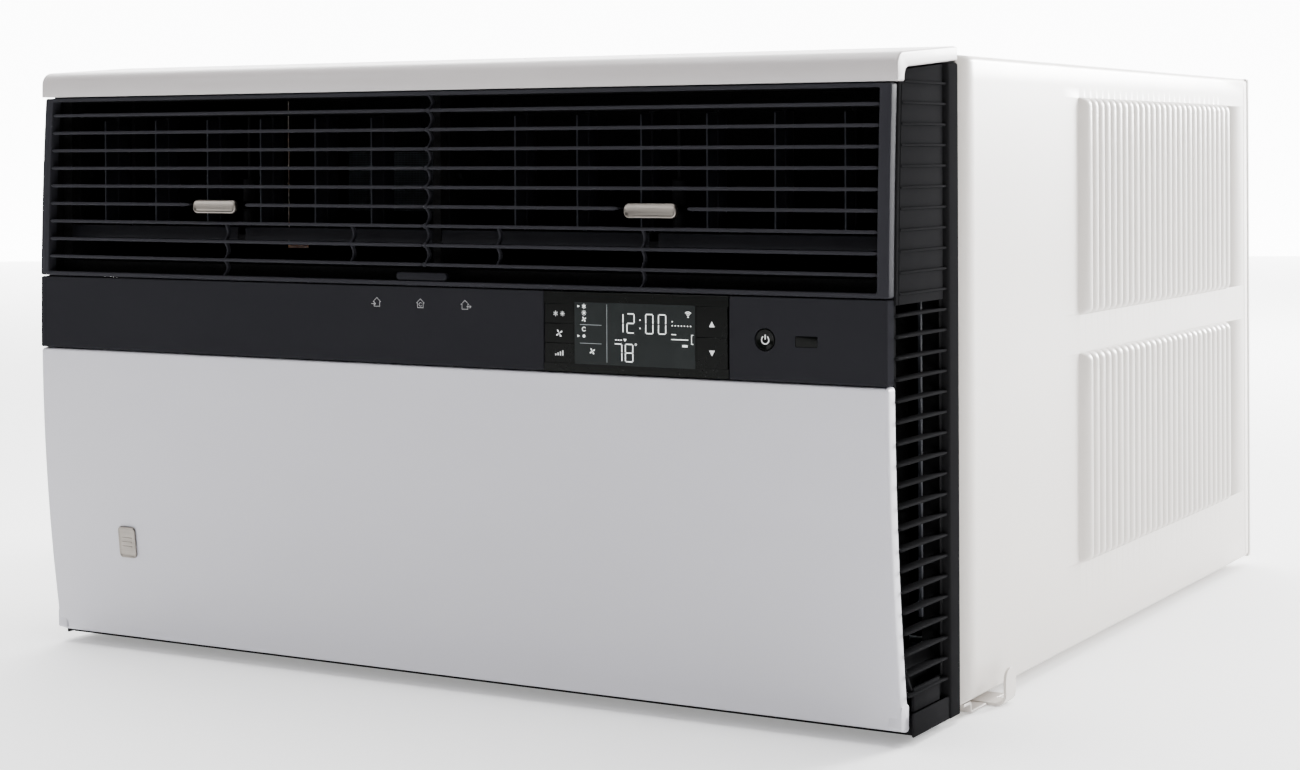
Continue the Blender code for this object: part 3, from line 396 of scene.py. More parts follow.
@dataclass(frozen=True)
class Drawn(Finish):
    """Drawn metal tube or wire, tarnished in patches."""

    tarnish: Colour = (0.2, 0.09, 0.05)

    def dress(self, tree: Tree) -> None:
        """Tarnish spreads where coarse noise is high and dulls the gloss there.

        Args:
            tree: the material's tree.
        """
        patch = tree.noise(60.0, 6.0, 0.65).step(0.45, 0.8)
        fine = tree.noise(900.0, 2.0)
        tree.set(Base_Color=tree.mix(patch * 0.6 + fine * 0.1, self.colour, self.tarnish))
        tree.set(Roughness=patch.between(self.roughness, self.roughness + 0.25))
        tree.set(Normal=tree.relief(fine, 0.02 * MM, 0.4))


@dataclass(frozen=True)
class Open(Finish):
    """Foam or rubber: open cells or a fine dull skin."""

    cell: float = 700.0
    depth: float = 0.25 * MM

    def dress(self, tree: Tree) -> None:
        """Cells pit the surface, and the colour is darkened where they are deep as painted shade in the pits.

        Args:
            tree: the material's tree.
        """
        pit = tree.cells(self.cell)
        cloud = tree.noise(45.0, 4.0)
        # Painted shade: darker colour at the bottom of each pit.
        share = (pit * 1.2 * 0.6 + cloud * 0.4).step(0.15, 0.85)
        tree.set(Base_Color=tree.mix(share, self.shade(0.65), self.shade(1.25)))
        tree.set(Roughness=cloud.between(self.roughness - 0.06, self.roughness + 0.06))
        tree.set(Normal=tree.relief(pit, self.depth, 0.7), Specular_IOR_Level=0.1)


@dataclass(frozen=True)
class Netting(Finish):
    """Woven filter net: threads that cross along X and Z."""

    pitch: float = 1.4 * MM

    def dress(self, tree: Tree) -> None:
        """Two crossed sine waves are the threads; the mesh between them is darker.

        Args:
            tree: the material's tree.
        """
        turn = 2.0 * math.pi / self.pitch
        warp = (tree.axis("X") * turn).sine()
        weft = (tree.axis("Z") * turn).sine()
        thread = warp.most(weft).step(0.1, 0.95)
        dust = tree.noise(60.0, 5.0).step(0.4, 0.8) * 0.3
        tree.set(Base_Color=tree.mix(thread * 0.8 + dust, self.shade(0.25), self.shade(1.3)))
        tree.set(Roughness=thread.between(0.85, self.roughness))
        tree.set(Normal=tree.relief(thread, 0.3 * MM, 0.9))


@dataclass(frozen=True)
class Inked(Finish):
    """Printed or lit marks, which glow a little where they belong to a display."""

    glow: float = 0.0

    def dress(self, tree: Tree) -> None:
        """Fine noise leaves the ink slightly uneven.

        Args:
            tree: the material's tree.
        """
        uneven = tree.noise(2600.0, 2.0)
        colour = tree.mix(uneven, self.shade(0.88), self.shade(1.06))
        tree.set(Base_Color=colour, Roughness=uneven.between(self.roughness, self.roughness + 0.1))
        tree.set(Emission_Color=colour, Emission_Strength=self.glow)
        tree.set(Normal=tree.relief(uneven, 0.01 * MM, 0.3))


SLEEVE_PAINT = SheetPaint("sleeve_paint", "sleeve", tint(206, 200, 194), 0.36)
GUARD_PAINT = SheetPaint("guard_paint", "guard", tint(208, 204, 199), 0.46)
PANEL_GREY = Moulding("panel_grey", "panel", tint(186, 185, 192), 0.4, contrast=0.012, depth=0.018 * MM)
TRIM_GREY = Moulding("trim_grey", "trim", tint(172, 167, 167), 0.34, contrast=0.015, depth=0.015 * MM)
CHARCOAL = Moulding("charcoal_plastic", "charcoal", tint(29, 29, 30), 0.62, shine=0.0)
GRILLE_BLACK = Moulding("grille_charcoal", "grille_black", tint(40, 40, 44), 0.42, depth=0.02 * MM,
                        shine=0.02)
BAND_SATIN = Moulding("band_satin", "charcoal", tint(34, 34, 37), 0.45, depth=0.012 * MM, contrast=0.03,
                      shine=0.0)
# Near-black painted shade for parts deep inside and behind the grille: scroll, damper door, coil fill, band
# recess, bank frames and lever stems.
SHADOW_BLACK = Moulding("inner_black", "grille_black", tint(10, 10, 12), 0.6, shine=0.05)
VANE_GREY = Moulding("vane_grey", "grille_black", tint(24, 24, 28), 0.45, shine=0.05)
# Lighter grey as painted highlight: the lit look of the charcoal side rib and the glints on the vanes' front
# edges.
PAINTED_HIGHLIGHT_GREY = Moulding("rib_grey", "grille_black", tint(52, 54, 59), 0.55, shine=0.05)
GLASS = Gloss("gloss_black", "gloss", tint(6, 7, 6), 0.07)
SCREEN = Gloss("screen_black", "gloss", tint(27, 30, 30), 0.1)
NICKEL = Brushed("brushed_nickel", "nickel", tint(126, 121, 115), 0.3, 1.0)
ZINC = Spangle("galvanised_steel", "galvanised", tint(176, 180, 184), 0.42, 1.0)
ALUMINIUM = Brushed("aluminium_fins", "fins", tint(205, 208, 211), 0.34, 1.0, (620.0, 620.0, 14.0))
COPPER = Drawn("copper_tube", "copper", tint(214, 140, 98), 0.26, 1.0)
ENAMEL = SheetPaint("black_enamel", "enamel_black", tint(26, 26, 27), 0.33, peel=700.0)
WHITE_PLASTIC = Moulding("white_plastic", "white_plastic", tint(214, 214, 210), 0.46, contrast=0.02)
FILTER_NET = Netting("filter_net", "filter", tint(70, 76, 82), 0.7)
# Near-black foam: the lining's own dark colour, made darker as painted shade for the inside of the duct and
# the coil ends.
FOAM = Open("duct_foam", "foam", tint(14, 14, 15), 0.95)
RUBBER = Open("rubber", "rubber", tint(34, 34, 35), 0.72, cell=2200.0, depth=0.03 * MM)
PRINT_WHITE = Inked("print_white", "white_plastic", tint(226, 228, 228), 0.45)
PRINT_GREY = Inked("print_grey", "white_plastic", tint(150, 150, 152), 0.5)
LIT = Inked("lit_segments", "white_plastic", tint(238, 242, 240), 0.4, glow=0.9)
LIT_DIM = Inked("lit_segments_dim", "white_plastic", tint(150, 158, 160), 0.4, glow=0.25)


# ---- shapes
@dataclass
class Shape:
    """Points, four-sided faces and caps of any number of sides."""

    points: np.ndarray
    quads: np.ndarray
    caps: list[np.ndarray] = field(default_factory=list)

    def __add__(self, other: "Shape") -> "Shape":
        """Both shapes in one."""
        shift = len(self.points)
        return Shape(np.vstack((self.points, other.points)), np.vstack((self.quads, other.quads + shift)),
                     self.caps + [cap + shift for cap in other.caps])

    def mirrored(self) -> "Shape":
        """A copy on the other side of the middle plane, with its faces turned back out."""
        return Shape(self.points * np.array((-1.0, 1.0, 1.0)), self.quads[:, ::-1],
                     [cap[::-1] for cap in self.caps])

    def through(self, matrix: Matrix) -> "Shape":
        """A copy moved through a 4x4 matrix."""
        grid = np.array(matrix)
        return Shape(self.points @ grid[:3, :3].T + grid[:3, 3], self.quads, self.caps)

    def facing(self, x: float, y: float, z: float) -> "Shape":
        """This shape, turned over if its first face looks away from a direction.

        Args:
            x: the direction's share along X.
            y: its share along Y.
            z: its share along Z.

        Returns:
            The shape.
        """
        a, b, c, d = self.points[self.quads[0]]
        if np.dot(np.cross(c - a, d - b), (x, y, z)) >= 0.0:
            return self
        return Shape(self.points, self.quads[:, ::-1], [cap[::-1] for cap in self.caps])


def joined(shapes: Sequence[Shape]) -> Shape:
    """All the shapes in one.

    Args:
        shapes: the shapes.

    Returns:
        The one shape.
    """
    total = shapes[0]
    for shape in shapes[1:]:
        total = total + shape
    return total


def quads_of(index: np.ndarray, wrap: bool, closed: bool) -> np.ndarray:
    """Faces of a grid of point numbers.

    Args:
        index: point numbers, rows by columns.
        wrap: whether the last row joins the first.
        closed: whether the last column joins the first.

    Returns:
        Four point numbers for each face.
    """
    down = np.roll(index, -1, 0) if wrap else index[1:]
    here = index if wrap else index[:-1]
    if closed:
        faces = (here, np.roll(here, -1, 1), np.roll(down, -1, 1), down)
    else:
        faces = (here[:, :-1], here[:, 1:], down[:, 1:], down[:, :-1])
    return np.stack(faces, -1).reshape(-1, 4)


def loft(rings: np.ndarray, wrap: bool = False, capped: bool = True) -> Shape:
    """Skin over a row of closed rings.

    Args:
        rings: points, rings by points by three.
        wrap: whether the last ring joins the first.
        capped: whether the two end rings are filled.

    Returns:
        The skin.
    """
    count, around = rings.shape[:2]
    index = np.arange(count * around).reshape(count, around)
    caps = [] if wrap or not capped else [index[0][::-1], index[-1]]
    return Shape(rings.reshape(-1, 3), quads_of(index, wrap, True), caps)


def sheet(points: np.ndarray) -> Shape:
    """Open surface over a grid of points.

    Args:
        points: points, rows by columns by three.

    Returns:
        The surface.
    """
    rows, columns = points.shape[:2]
    index = np.arange(rows * columns).reshape(rows, columns)
    return Shape(points.reshape(-1, 3), quads_of(index, False, False))


@dataclass(frozen=True)
class Outline:
    """Closed flat outline with its outward normals."""

    points: np.ndarray
    normals: np.ndarray

    @classmethod
    def of(cls, corners: Sequence[tuple]) -> "Outline":
        """Outline through corners, turned to run anticlockwise; a corner's normal is its mitre.

        Args:
            corners: the corners, in order.

        Returns:
            The outline.
        """
        points = np.array(corners, float)
        after = np.roll(points, -1, 0)
        if (points[:, 0] * after[:, 1] - after[:, 0] * points[:, 1]).sum() < 0.0:
            points = points[::-1]
        ahead = np.roll(points, -1, 0) - points
        side = np.stack((ahead[:, 1], -ahead[:, 0]), 1)
        side /= np.linalg.norm(side, axis=1)[:, None]
        both = side + np.roll(side, 1, 0)
        return cls(points, both / (0.5 * (both ** 2).sum(1))[:, None])

    @classmethod
    def rounded(cls, low: tuple, high: tuple, radius: float, rises: int = 1, turn: int = 4,
                heights: Optional[np.ndarray] = None) -> "Outline":
        """Rectangle with round corners: the right half going up, then the left half going down.

        Point i and point n-1-i stand at the same height on the two sides.

        Args:
            low: lowest corner.
            high: highest corner.
            radius: corner radius.
            rises: steps up each side.
            turn: steps round each corner.
            heights: heights of the points between the corners, instead of even steps.

        Returns:
            The outline.
        """
        middle = (low[0] + high[0]) / 2
        half = (high[0] - low[0]) / 2
        swing = np.radians(np.linspace(-90.0, 0.0, turn + 1))
        normal = np.stack((np.cos(swing), np.sin(swing)), 1)
        foot = normal * radius + (half - radius, low[1] + radius)
        head = normal[::-1] * (1.0, -1.0)
        top = head * radius + (half - radius, high[1] - radius)
        if heights is None:
            heights = np.linspace(low[1] + radius, high[1] - radius, rises + 1)[1:-1]
        side = np.stack((np.full(len(heights), half), heights), 1)
        right = np.vstack((foot, side, top))
        out = np.vstack((normal, np.tile((1.0, 0.0), (len(heights), 1)), head))
        points = np.vstack((right, right[::-1] * (-1.0, 1.0))) + (middle, 0.0)
        return cls(points, np.vstack((out, out[::-1] * (-1.0, 1.0))))

    @classmethod
    def circle(cls, centre: tuple, radius: float, sides: int = 32) -> "Outline":
        """Circle about a centre.

        Args:
            centre: its middle.
            radius: its radius.
            sides: sides round the circle.

        Returns:
            The outline.
        """
        swing = np.linspace(0.0, 2 * math.pi, sides, endpoint=False)
        normal = np.stack((np.cos(swing), np.sin(swing)), 1)
        return cls(np.array(centre) + normal * radius, normal)

    def grown(self, distance: float) -> np.ndarray:
        """The points moved out along their normals."""
        return self.points + self.normals * distance


class Axis(Enum):
    """Axis that an outline is carried along; the outline lies in the other two."""

    X = (2, 0, 1)
    Y = (0, 2, 1)
    Z = (0, 1, 2)


def lifted(points: np.ndarray, along: Union[float, np.ndarray], axis: Axis) -> np.ndarray:
    """Flat points placed at a distance along an axis."""
    spread = np.broadcast_to(np.asarray(along, float), points.shape[:1])
    return np.column_stack((points, spread))[:, list(axis.value)]


def slab(outline: Outline, start: float, end: float, axis: Axis, edge: float = 0.0,
         steps: int = 3) -> Shape:
    """Solid of an outline carried along an axis, its two rims rounded by quarter circles.

    Args:
        outline: the outline.
        start: where it starts along the axis.
        end: where it ends.
        axis: the axis.
        edge: radius of the rims.
        steps: steps round a rim.

    Returns:
        The closed solid.
    """
    swing = np.radians(np.linspace(0.0, 90.0, steps + 1)) if edge > 0.0 else np.array([math.pi / 2])
    inset, rise = edge * (np.sin(swing) - 1.0), edge * (1.0 - np.cos(swing))
    first = [lifted(outline.grown(a), start + b, axis) for a, b in zip(inset, rise)]
    last = [lifted(outline.grown(a), end - b, axis) for a, b in zip(inset[::-1], rise[::-1])]
    return loft(np.array(first + last))


def block(low: Sequence[float], high: Sequence[float], edge: float = 0.0006) -> Shape:
    """Box with all its edges rounded, between two corners.

    Args:
        low: one corner.
        high: the opposite corner.
        edge: radius of the edges.

    Returns:
        The closed box.
    """
    low, high = np.minimum(low, high), np.maximum(low, high)
    radius = min(edge, float(min(high - low)) * 0.45)
    return slab(Outline.rounded(low[[0, 2]], high[[0, 2]], radius, 1, 2), low[1], high[1], Axis.Y, radius, 2)


def framed(outer: Outline, inner: Outline, surface: Depth, depth: float, roll: float,
           lip: float) -> Shape:
    """Picture frame over a surface: a closed section carried round two matched outlines.

    Args:
        outer: outline of the outer edge.
        inner: outline of the opening.
        surface: y of the front at each height.
        depth: thickness from the front to the back.
        roll: radius of the outer front edge.
        lip: radius of the front edge at the opening.

    Returns:
        The closed frame.
    """
    swing = np.radians(np.linspace(90.0, 0.0, 4))
    rings = [(outer.points, depth)]
    rings += [(outer.grown(-roll * (1 - math.sin(a))), roll * (1 - math.cos(a))) for a in swing]
    rings += [(inner.grown(lip * (1 - math.sin(a))), lip * (1 - math.cos(a))) for a in swing[::-1]]
    rings.append((inner.points, depth))
    return loft(np.array([lifted(flat, surface(flat[:, 1]) + back, Axis.Y) for flat, back in rings]),
                wrap=True)


def tray(outline: Outline, surface: Depth, depth: float, roll: float, flare: float = 0.0) -> Shape:
    """Open shell: a front that follows a surface, rolled back round its whole edge.

    Args:
        outline: outline of the front at its widest.
        surface: y of the front at each height.
        depth: how far the rim reaches back.
        roll: radius between the front and the rim.
        flare: how much wider the rim is at its back edge.

    Returns:
        The shell without thickness, facing -Y and outwards.
    """
    swing = np.radians(np.linspace(0.0, 90.0, 6))
    steps = [(roll * (math.sin(a) - 1.0), roll * (1.0 - math.cos(a))) for a in swing]
    steps.append((flare, depth))
    rings = np.array([lifted(outline.grown(a), surface(outline.grown(a)[:, 1]) + b, Axis.Y)
                      for a, b in steps])
    skin = loft(rings, capped=False)
    count = len(outline.points)
    low = np.arange(count // 2 - 1)
    fill = np.stack((low, low + 1, count - 2 - low, count - 1 - low), 1)
    return Shape(skin.points, np.vstack((fill, skin.quads[:, ::-1]))).facing(0, -1, 0)


def swept(path: np.ndarray, radius: Union[float, np.ndarray], sides: int = 16) -> Shape:
    """Round bar along a path; each ring stands square to the path.

    The first normal is carried from ring to ring by taking away its share along the path.

    Args:
        path: points of the path.
        radius: one radius, or one for each point.
        sides: sides of the bar.

    Returns:
        The closed bar.
    """
    ahead = np.gradient(path, axis=0)
    ahead /= np.linalg.norm(ahead, axis=1)[:, None]
    normal = np.cross(ahead[0], (0.3, 0.5, 0.81))
    normals = []
    for step in ahead:
        normal = normal - step * np.dot(normal, step)
        normal = normal / np.linalg.norm(normal)
        normals.append(normal)
    first = np.array(normals)
    second = np.cross(ahead, first)
    swing = np.linspace(0.0, 2 * math.pi, sides, endpoint=False)
    reach = np.broadcast_to(np.asarray(radius, float), len(path))[:, None, None]
    ring = np.cos(swing)[None, :, None] * first[:, None] + np.sin(swing)[None, :, None] * second[:, None]
    return loft(path[:, None] + reach * ring)


def eased(corners: Sequence[tuple], radius: float, steps: int = 6) -> np.ndarray:
    """Path through corners, each turned along a quadratic curve of the given reach.

    Args:
        corners: start, corners and end.
        radius: how far from a corner its curve starts.
        steps: steps round a corner.

    Returns:
        Points of the path.
    """
    places = np.array(corners, float)
    share = np.linspace(0.0, 1.0, steps + 1)[:, None]
    path = [places[:1]]
    for before, corner, after in zip(places, places[1:], places[2:]):
        back = (before - corner) / np.linalg.norm(before - corner) * radius
        on = (after - corner) / np.linalg.norm(after - corner) * radius
        path.append(corner + back * (1 - share) ** 2 + on * share ** 2)
    return np.vstack(path + [places[-1:]])


def turned(profile: Sequence[tuple], centre: Sequence[float], axis: Axis, sides: int = 40) -> Shape:
    """Turned solid: (radius, height) points spun about an axis; a radius of 0 closes a pole.

    Args:
        profile: points of radius and height.
        centre: where the axis starts.
        axis: the axis.
        sides: sides round the circle.

    Returns:
        The turned surface.
    """
    radius, height = np.array(profile, float).T
    swing = np.linspace(0.0, 2 * math.pi, sides, endpoint=False)
    flat = np.stack(np.broadcast_arrays(radius[:, None] * np.cos(swing), radius[:, None] * np.sin(swing),
                                        height[:, None]), -1)
    index = np.arange(flat.shape[0] * sides).reshape(-1, sides)
    return Shape(flat.reshape(-1, 3)[:, list(axis.value)] + np.array(centre), quads_of(index, False, True))


def ring_of(profile: Sequence[tuple], centre: Sequence[float], axis: Axis, sides: int = 40) -> Shape:
    """Turned ring: a closed (radius, height) section spun about an axis."""
    return turned(list(profile) + [profile[0]], centre, axis, sides)


def repeated(shape: Shape, matrices: np.ndarray) -> Shape:
    """Copies of a shape, one through each 4x4 matrix, worked out in one product.

    Args:
        shape: what is copied.
        matrices: one 4x4 matrix for each copy.

    Returns:
        All the copies as one shape.
    """
    count, size = len(matrices), len(shape.points)
    turn, shift = matrices[:, :3, :3], matrices[:, :3, 3]
    points = np.einsum("kij,nj->kni", turn, shape.points) + shift[:, None]
    jumps = np.arange(count) * size
    quads = (shape.quads[None] + jumps[:, None, None]).reshape(-1, 4)
    return Shape(points.reshape(-1, 3), quads, [cap + jump for jump in jumps for cap in shape.caps])


def spun(shape: Shape, centre: Sequence[float], count: int) -> Shape:
    """Copies of a shape at even turns about an axis along Y through a centre."""
    turns = [Matrix.Translation(centre) @ Matrix.Rotation(2 * math.pi * k / count, 4, "Y")
             for k in range(count)]
    return repeated(shape, np.array([np.array(turn) for turn in turns]))


def row(shape: Shape, steps: np.ndarray) -> Shape:
    """Copies of a shape shifted by each step.

    Args:
        shape: what is copied.
        steps: shift of each copy.

    Returns:
        All the copies as one shape.
    """
    matrices = np.tile(np.eye(4), (len(steps), 1, 1))
    matrices[:, :3, 3] = steps
    return repeated(shape, matrices)


def mm(*points: tuple) -> list[tuple]:
    """Points given in millimetres, in metres."""
    return [tuple(part * MM for part in point) for point in points]


def plane(y: float) -> Depth:
    """Upright flat surface at a depth."""
    return lambda z: np.full(np.shape(z), y)


def middle(node: str) -> tuple[float, ...]:
    """Middle of a plain node's box."""
    low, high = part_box(node)
    return tuple((a + b) / 2 for a, b in zip(low, high))


# ---- pieces
@dataclass
class Piece:
    """How a shape becomes a finished object on a body.

    Attributes:
        name: the object's name.
        shape: its surface.
        finish: what it is finished in.
        node: the plain node that it stands for, if any.
        body: the body that it rides on, or its node's own body.
        wall: thickness that an open surface is given, inwards.
        bevel: width of the rounding on its sharp edges.
        crease: angle above which an edge is shaded sharp.
        cut: solids taken out of it.
    """

    name: str
    shape: Shape
    finish: Finish
    node: str = ""
    body: str = ""
    wall: float = 0.0
    bevel: float = 0.0
    crease: float = 32.0
    cut: Optional[Shape] = None

    def make(self) -> bpy.types.Object:
        """Build the object, finish it and fasten it to its body."""
        return self.fit(self._object(self.name, self.shape, self.wall > 0.0))

    def _object(self, name: str, shape: Shape, open_skin: bool) -> bpy.types.Object:
        """Object of a shape, cleaned and linked.

        Args:
            name: the object's name.
            shape: its surface.
            open_skin: whether it is a skin without a wall.

        Returns:
            The object.
        """
        mesh = bpy.data.meshes.new(name)
        mesh.from_pydata(shape.points.tolist(), [],
                         shape.quads.tolist() + [cap.tolist() for cap in shape.caps])
        self._clean(mesh, open_skin)
        obj = bpy.data.objects.new(name, mesh)
        bpy.context.scene.collection.objects.link(obj)
        return obj

    def _carve(self, obj: bpy.types.Object) -> None:
        """Take the cut away from the object and keep the result as its mesh.

        Args:
            obj: the object.
        """
        cutter = self._object(self.name + "_cutter", self.cut, False)
        hole = obj.modifiers.new("cut", "BOOLEAN")
        hole.object, hole.operation, hole.solver = cutter, "DIFFERENCE", "EXACT"
        bpy.context.view_layer.update()
        graph = bpy.context.evaluated_depsgraph_get()
        carved = bpy.data.meshes.new_from_object(obj.evaluated_get(graph))
        obj.modifiers.clear()
        obj.data = carved
        carved.set_sharp_from_angle(angle=math.radians(self.crease))
        bpy.data.objects.remove(cutter)

    @staticmethod
    def _clean(mesh: bpy.types.Mesh, open_skin: bool) -> None:
        """Merge doubled points, drop faces without area and turn closed shells outwards.

        Args:
            mesh: the mesh.
            open_skin: whether it is a skin without a wall.
        """
        work = bmesh.new()
        work.from_mesh(mesh)
        bmesh.ops.remove_doubles(work, verts=work.verts, dist=0.002 * MM)
        bmesh.ops.dissolve_degenerate(work, edges=work.edges, dist=0.001 * MM)
        if not open_skin:
            bmesh.ops.recalc_face_normals(work, faces=work.faces)
        work.to_mesh(mesh)
        work.free()

    def fit(self, obj: bpy.types.Object) -> bpy.types.Object:
        """Shade an object, give it its wall, rounding, material and body.

        Args:
            obj: the object.

        Returns:
            The same object.
        """
        obj.data.shade_smooth()
        obj.data.set_sharp_from_angle(angle=math.radians(self.crease))
        if self.wall > 0.0:
            skin = obj.modifiers.new("wall", "SOLIDIFY")
            skin.thickness = self.wall
            skin.offset = -1.0
            skin.use_even_offset = True
        if self.cut is not None:
            self._carve(obj)
        if self.bevel > 0.0:
            edge = obj.modifiers.new("rounding", "BEVEL")
            edge.width = self.bevel
            edge.segments = 2
            edge.limit_method = "ANGLE"
            edge.angle_limit = math.radians(40.0)
            edge.harden_normals = True
        obj.data.materials.clear()
        obj.data.materials.append(self.finish.material())
        if self.node:
            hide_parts(self.node)
        body = self.body or BODY_OF.get(self.node, "chassis")
        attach(obj, body)
        LOG.info("%s: %d faces on %s", obj.name, len(obj.data.polygons), body)
        return obj


BODY_OF = {node: body for body, nodes in frame["record"]["behaviour"]["bodies"].items() for node in nodes}


def softened(node: str, finish: Finish, bevel: float = 0.5 * MM) -> bpy.types.Object:
    """Stand-in for a plain node: its own shape with merged faces and rounded edges.

    Args:
        node: the node that it replaces.
        finish: what it is finished in.
        bevel: width of the rounding.

    Returns:
        The object.
    """
    mesh = frame["nodes"][node].data.copy()
    work = bmesh.new()
    work.from_mesh(mesh)
    bmesh.ops.remove_doubles(work, verts=work.verts, dist=0.01 * MM)
    bmesh.ops.dissolve_limit(work, angle_limit=math.radians(1.0), verts=work.verts, edges=work.edges)
    work.to_mesh(mesh)
    work.free()
    obj = bpy.data.objects.new(node + "_finished", mesh)
    bpy.context.scene.collection.objects.link(obj)
    nothing = Shape(np.zeros((0, 3)), np.zeros((0, 4), int))
    return Piece(obj.name, nothing, finish, node, bevel=bevel).fit(obj)


# ---- the front's surface
@dataclass(frozen=True)
class FrontFace:
    """Side view of the front: two arcs that meet at its fullest line.

    Attributes:
        front_y: depth of the fullest line.
        bulge_z: its height.
        upper_radius: radius of the arc above it.
        lower_radius: radius of the arc below it.
    """

    front_y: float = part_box("display_lens")[0].y
    bulge_z: float = 0.2225
    upper_radius: float = 2.28
    lower_radius: float = 1.262

    def y(self, z: np.ndarray) -> np.ndarray:
        """Depth at a height: the square of the rise over twice the arc's radius.

        Args:
            z: heights.

        Returns:
            The depth at each height.
        """
        rise = np.asarray(z, float) - self.bulge_z
        radius = np.where(rise > 0.0, self.upper_radius, self.lower_radius)
        return self.front_y + rise ** 2 / (2 * radius)


FACE = FrontFace()
SEAM = 0.8 * MM   # gap between neighbouring mouldings


# ---- steel sleeve
@dataclass
class Sleeve:
    """Painted sleeve with two fields of pressed louvres in each side, its rail and rear guard.

    Attributes:
        half, bottom, top, front, rear: reach of the sleeve, from the plain node's box.
        wall: thickness of the sheet.
        louvre_first, louvre_last: where the row of louvres starts and ends.
        louvres: louvres in a row.
        fields: lower and upper end of each row.
        rise: how far a louvre stands out.
        end_length: length of a louvre's rounded end.
    """

    half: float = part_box("cabinet_sleeve")[1].x
    bottom: float = 7.8 * MM
    top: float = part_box("cabinet_sleeve")[1].z
    front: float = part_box("cabinet_sleeve")[0].y
    rear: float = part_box("cabinet_sleeve")[1].y
    wall: float = 1.3 * MM
    louvre_first: float = -0.053
    louvre_last: float = 0.291
    louvres: int = 27
    fields: tuple = ((0.0635, 0.208), (0.234, 0.3835))
    rise: float = 6.0 * MM
    end_length: float = 6.0 * MM

    def build(self) -> None:
        """Make the shell, the skids, the rail and the guard."""
        Piece("sleeve_shell", self.shell(), SLEEVE_PAINT, "cabinet_sleeve", wall=self.wall,
              crease=24.0).make()
        Piece("sleeve_skids", self.skids(), SLEEVE_PAINT, body="cabinet", bevel=0.4 * MM).make()
        Piece("sill_rail_formed", self.rail(), SLEEVE_PAINT, "sill_rail", bevel=0.3 * MM).make()
        Piece("rear_guard_stamped", self.guard(), GUARD_PAINT, "rear_guard",
              wall=self.wall).make()

    def heights(self) -> np.ndarray:
        """Heights of the points up a side: close together where a louvre ends.

        Returns:
            The heights, from the bottom up.
        """
        share = np.array((0.0, 0.04, 0.12, 0.25, 0.42, 0.65, 1.0)) * self.end_length
        rows = [np.concatenate((low + share,
                                np.linspace(low + self.end_length, high - self.end_length, 5)[1:-1],
                                high - share[::-1])) for low, high in self.fields]
        return np.concatenate(([self.bottom + 0.02], *rows, [self.top - 0.015]))

    def stations(self) -> tuple[np.ndarray, np.ndarray, np.ndarray]:
        """Places along Y, the share of full rise at each, and which steps are a louvre's lip.

        Returns:
            Places, shares of the rise, and which steps are a lip.
        """
        pitch = (self.louvre_last - self.louvre_first) / self.louvres
        share = np.array((0.0, 0.06, 0.16, 0.34, 0.56, 0.8, 0.94, 1.0))
        lift = np.array((0.0, 0.12, 0.36, 0.66, 0.88, 1.0, 0.97, 0.9))
        starts = self.louvre_first + pitch * np.arange(self.louvres)
        along = (starts[:, None] + pitch * share).ravel()
        lifts = np.tile(lift, self.louvres)
        hem = self.rear - np.array((9.2, 8.6, 8.0, 0.0)) * MM
        places = np.concatenate((np.linspace(self.front, along[0], 8)[:-1], along, [along[-1]], hem))
        lifts = np.concatenate((np.zeros(7), lifts, np.zeros(5)))
        lips = (np.abs(np.diff(places)) < 1e-7) & (np.diff(lifts) < -0.5)
        return places, lifts, lips

    def shell(self) -> Shape:
        """Tube of sheet steel: a rounded rectangle carried along Y, its sides pushed out.

        The push is the louvre's rise along Y times a quarter ellipse towards each end of the
        field. Between a lip and the next louvre the sheet is open.

        Returns:
            The shape.
        """
        outline = Outline.rounded((-self.half, self.bottom), (self.half, self.top), 4 * MM,
                                  heights=self.heights())
        places, lifts, lips = self.stations()
        flat = np.abs(outline.normals[:, 0]) > 0.999
        height = outline.points[:, 1]
        push = np.zeros(len(height))
        for low, high in self.fields:
            share = np.clip(np.minimum(height - low, high - height) / self.end_length, 0.0, 1.0)
            push += np.sqrt(1.0 - (1.0 - share) ** 2) * flat
        out = self.rise * lifts[:, None] * push
        hem = np.where(np.abs(places - self.rear + 8.6 * MM) < 1e-6, -0.35 * MM, 0.0)
        out = out + hem[:, None] * flat
        rings = np.array([lifted(outline.points, y, Axis.Y) for y in places])
        rings[:, :, 0] += out * np.sign(outline.points[:, 0])
        shape = loft(rings, capped=False)
        drop = np.abs(np.diff(out, axis=0))
        tall = np.minimum(drop, np.roll(drop, -1, 1)) > 0.35 * MM
        keep = ~(tall & lips[:, None]).reshape(-1)
        shape = Shape(shape.points, shape.quads[keep])
        return shape.facing(0, 0, -1)

    def skids(self) -> Shape:
        """Two pressed feet under the rear.

        Returns:
            The shape.
        """
        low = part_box("cabinet_sleeve")[0].z
        boxes = [block((x, 0.25, low), (x + 0.06, 0.345, self.bottom + 0.2 * MM), 3 * MM)
                 for x in (-0.29, 0.23)]
        return joined(boxes)

    def rail(self) -> Shape:
        """Z-section plate under the sleeve, with a hooked tab turned up at each end.

        Returns:
            The shape.
        """
        upper = self.bottom - 0.3 * MM
        bend = [(-0.2585, upper - 0.0015), (-0.249, upper - 0.0015), (-0.2478, upper - 0.0025),
                (-0.2475, 0.0015), (-0.2465, 0.0003), (-0.2455, 0.0), (-0.19, 0.0), (-0.19, 0.0015),
                (-0.2455, 0.0015), (-0.246, 0.0025), (-0.2462, upper - 0.001), (-0.2475, upper),
                (-0.2585, upper)]
        plate = slab(Outline.of(bend), -0.327, 0.327, Axis.X)
        return plate + self.tab() + self.tab().mirrored()

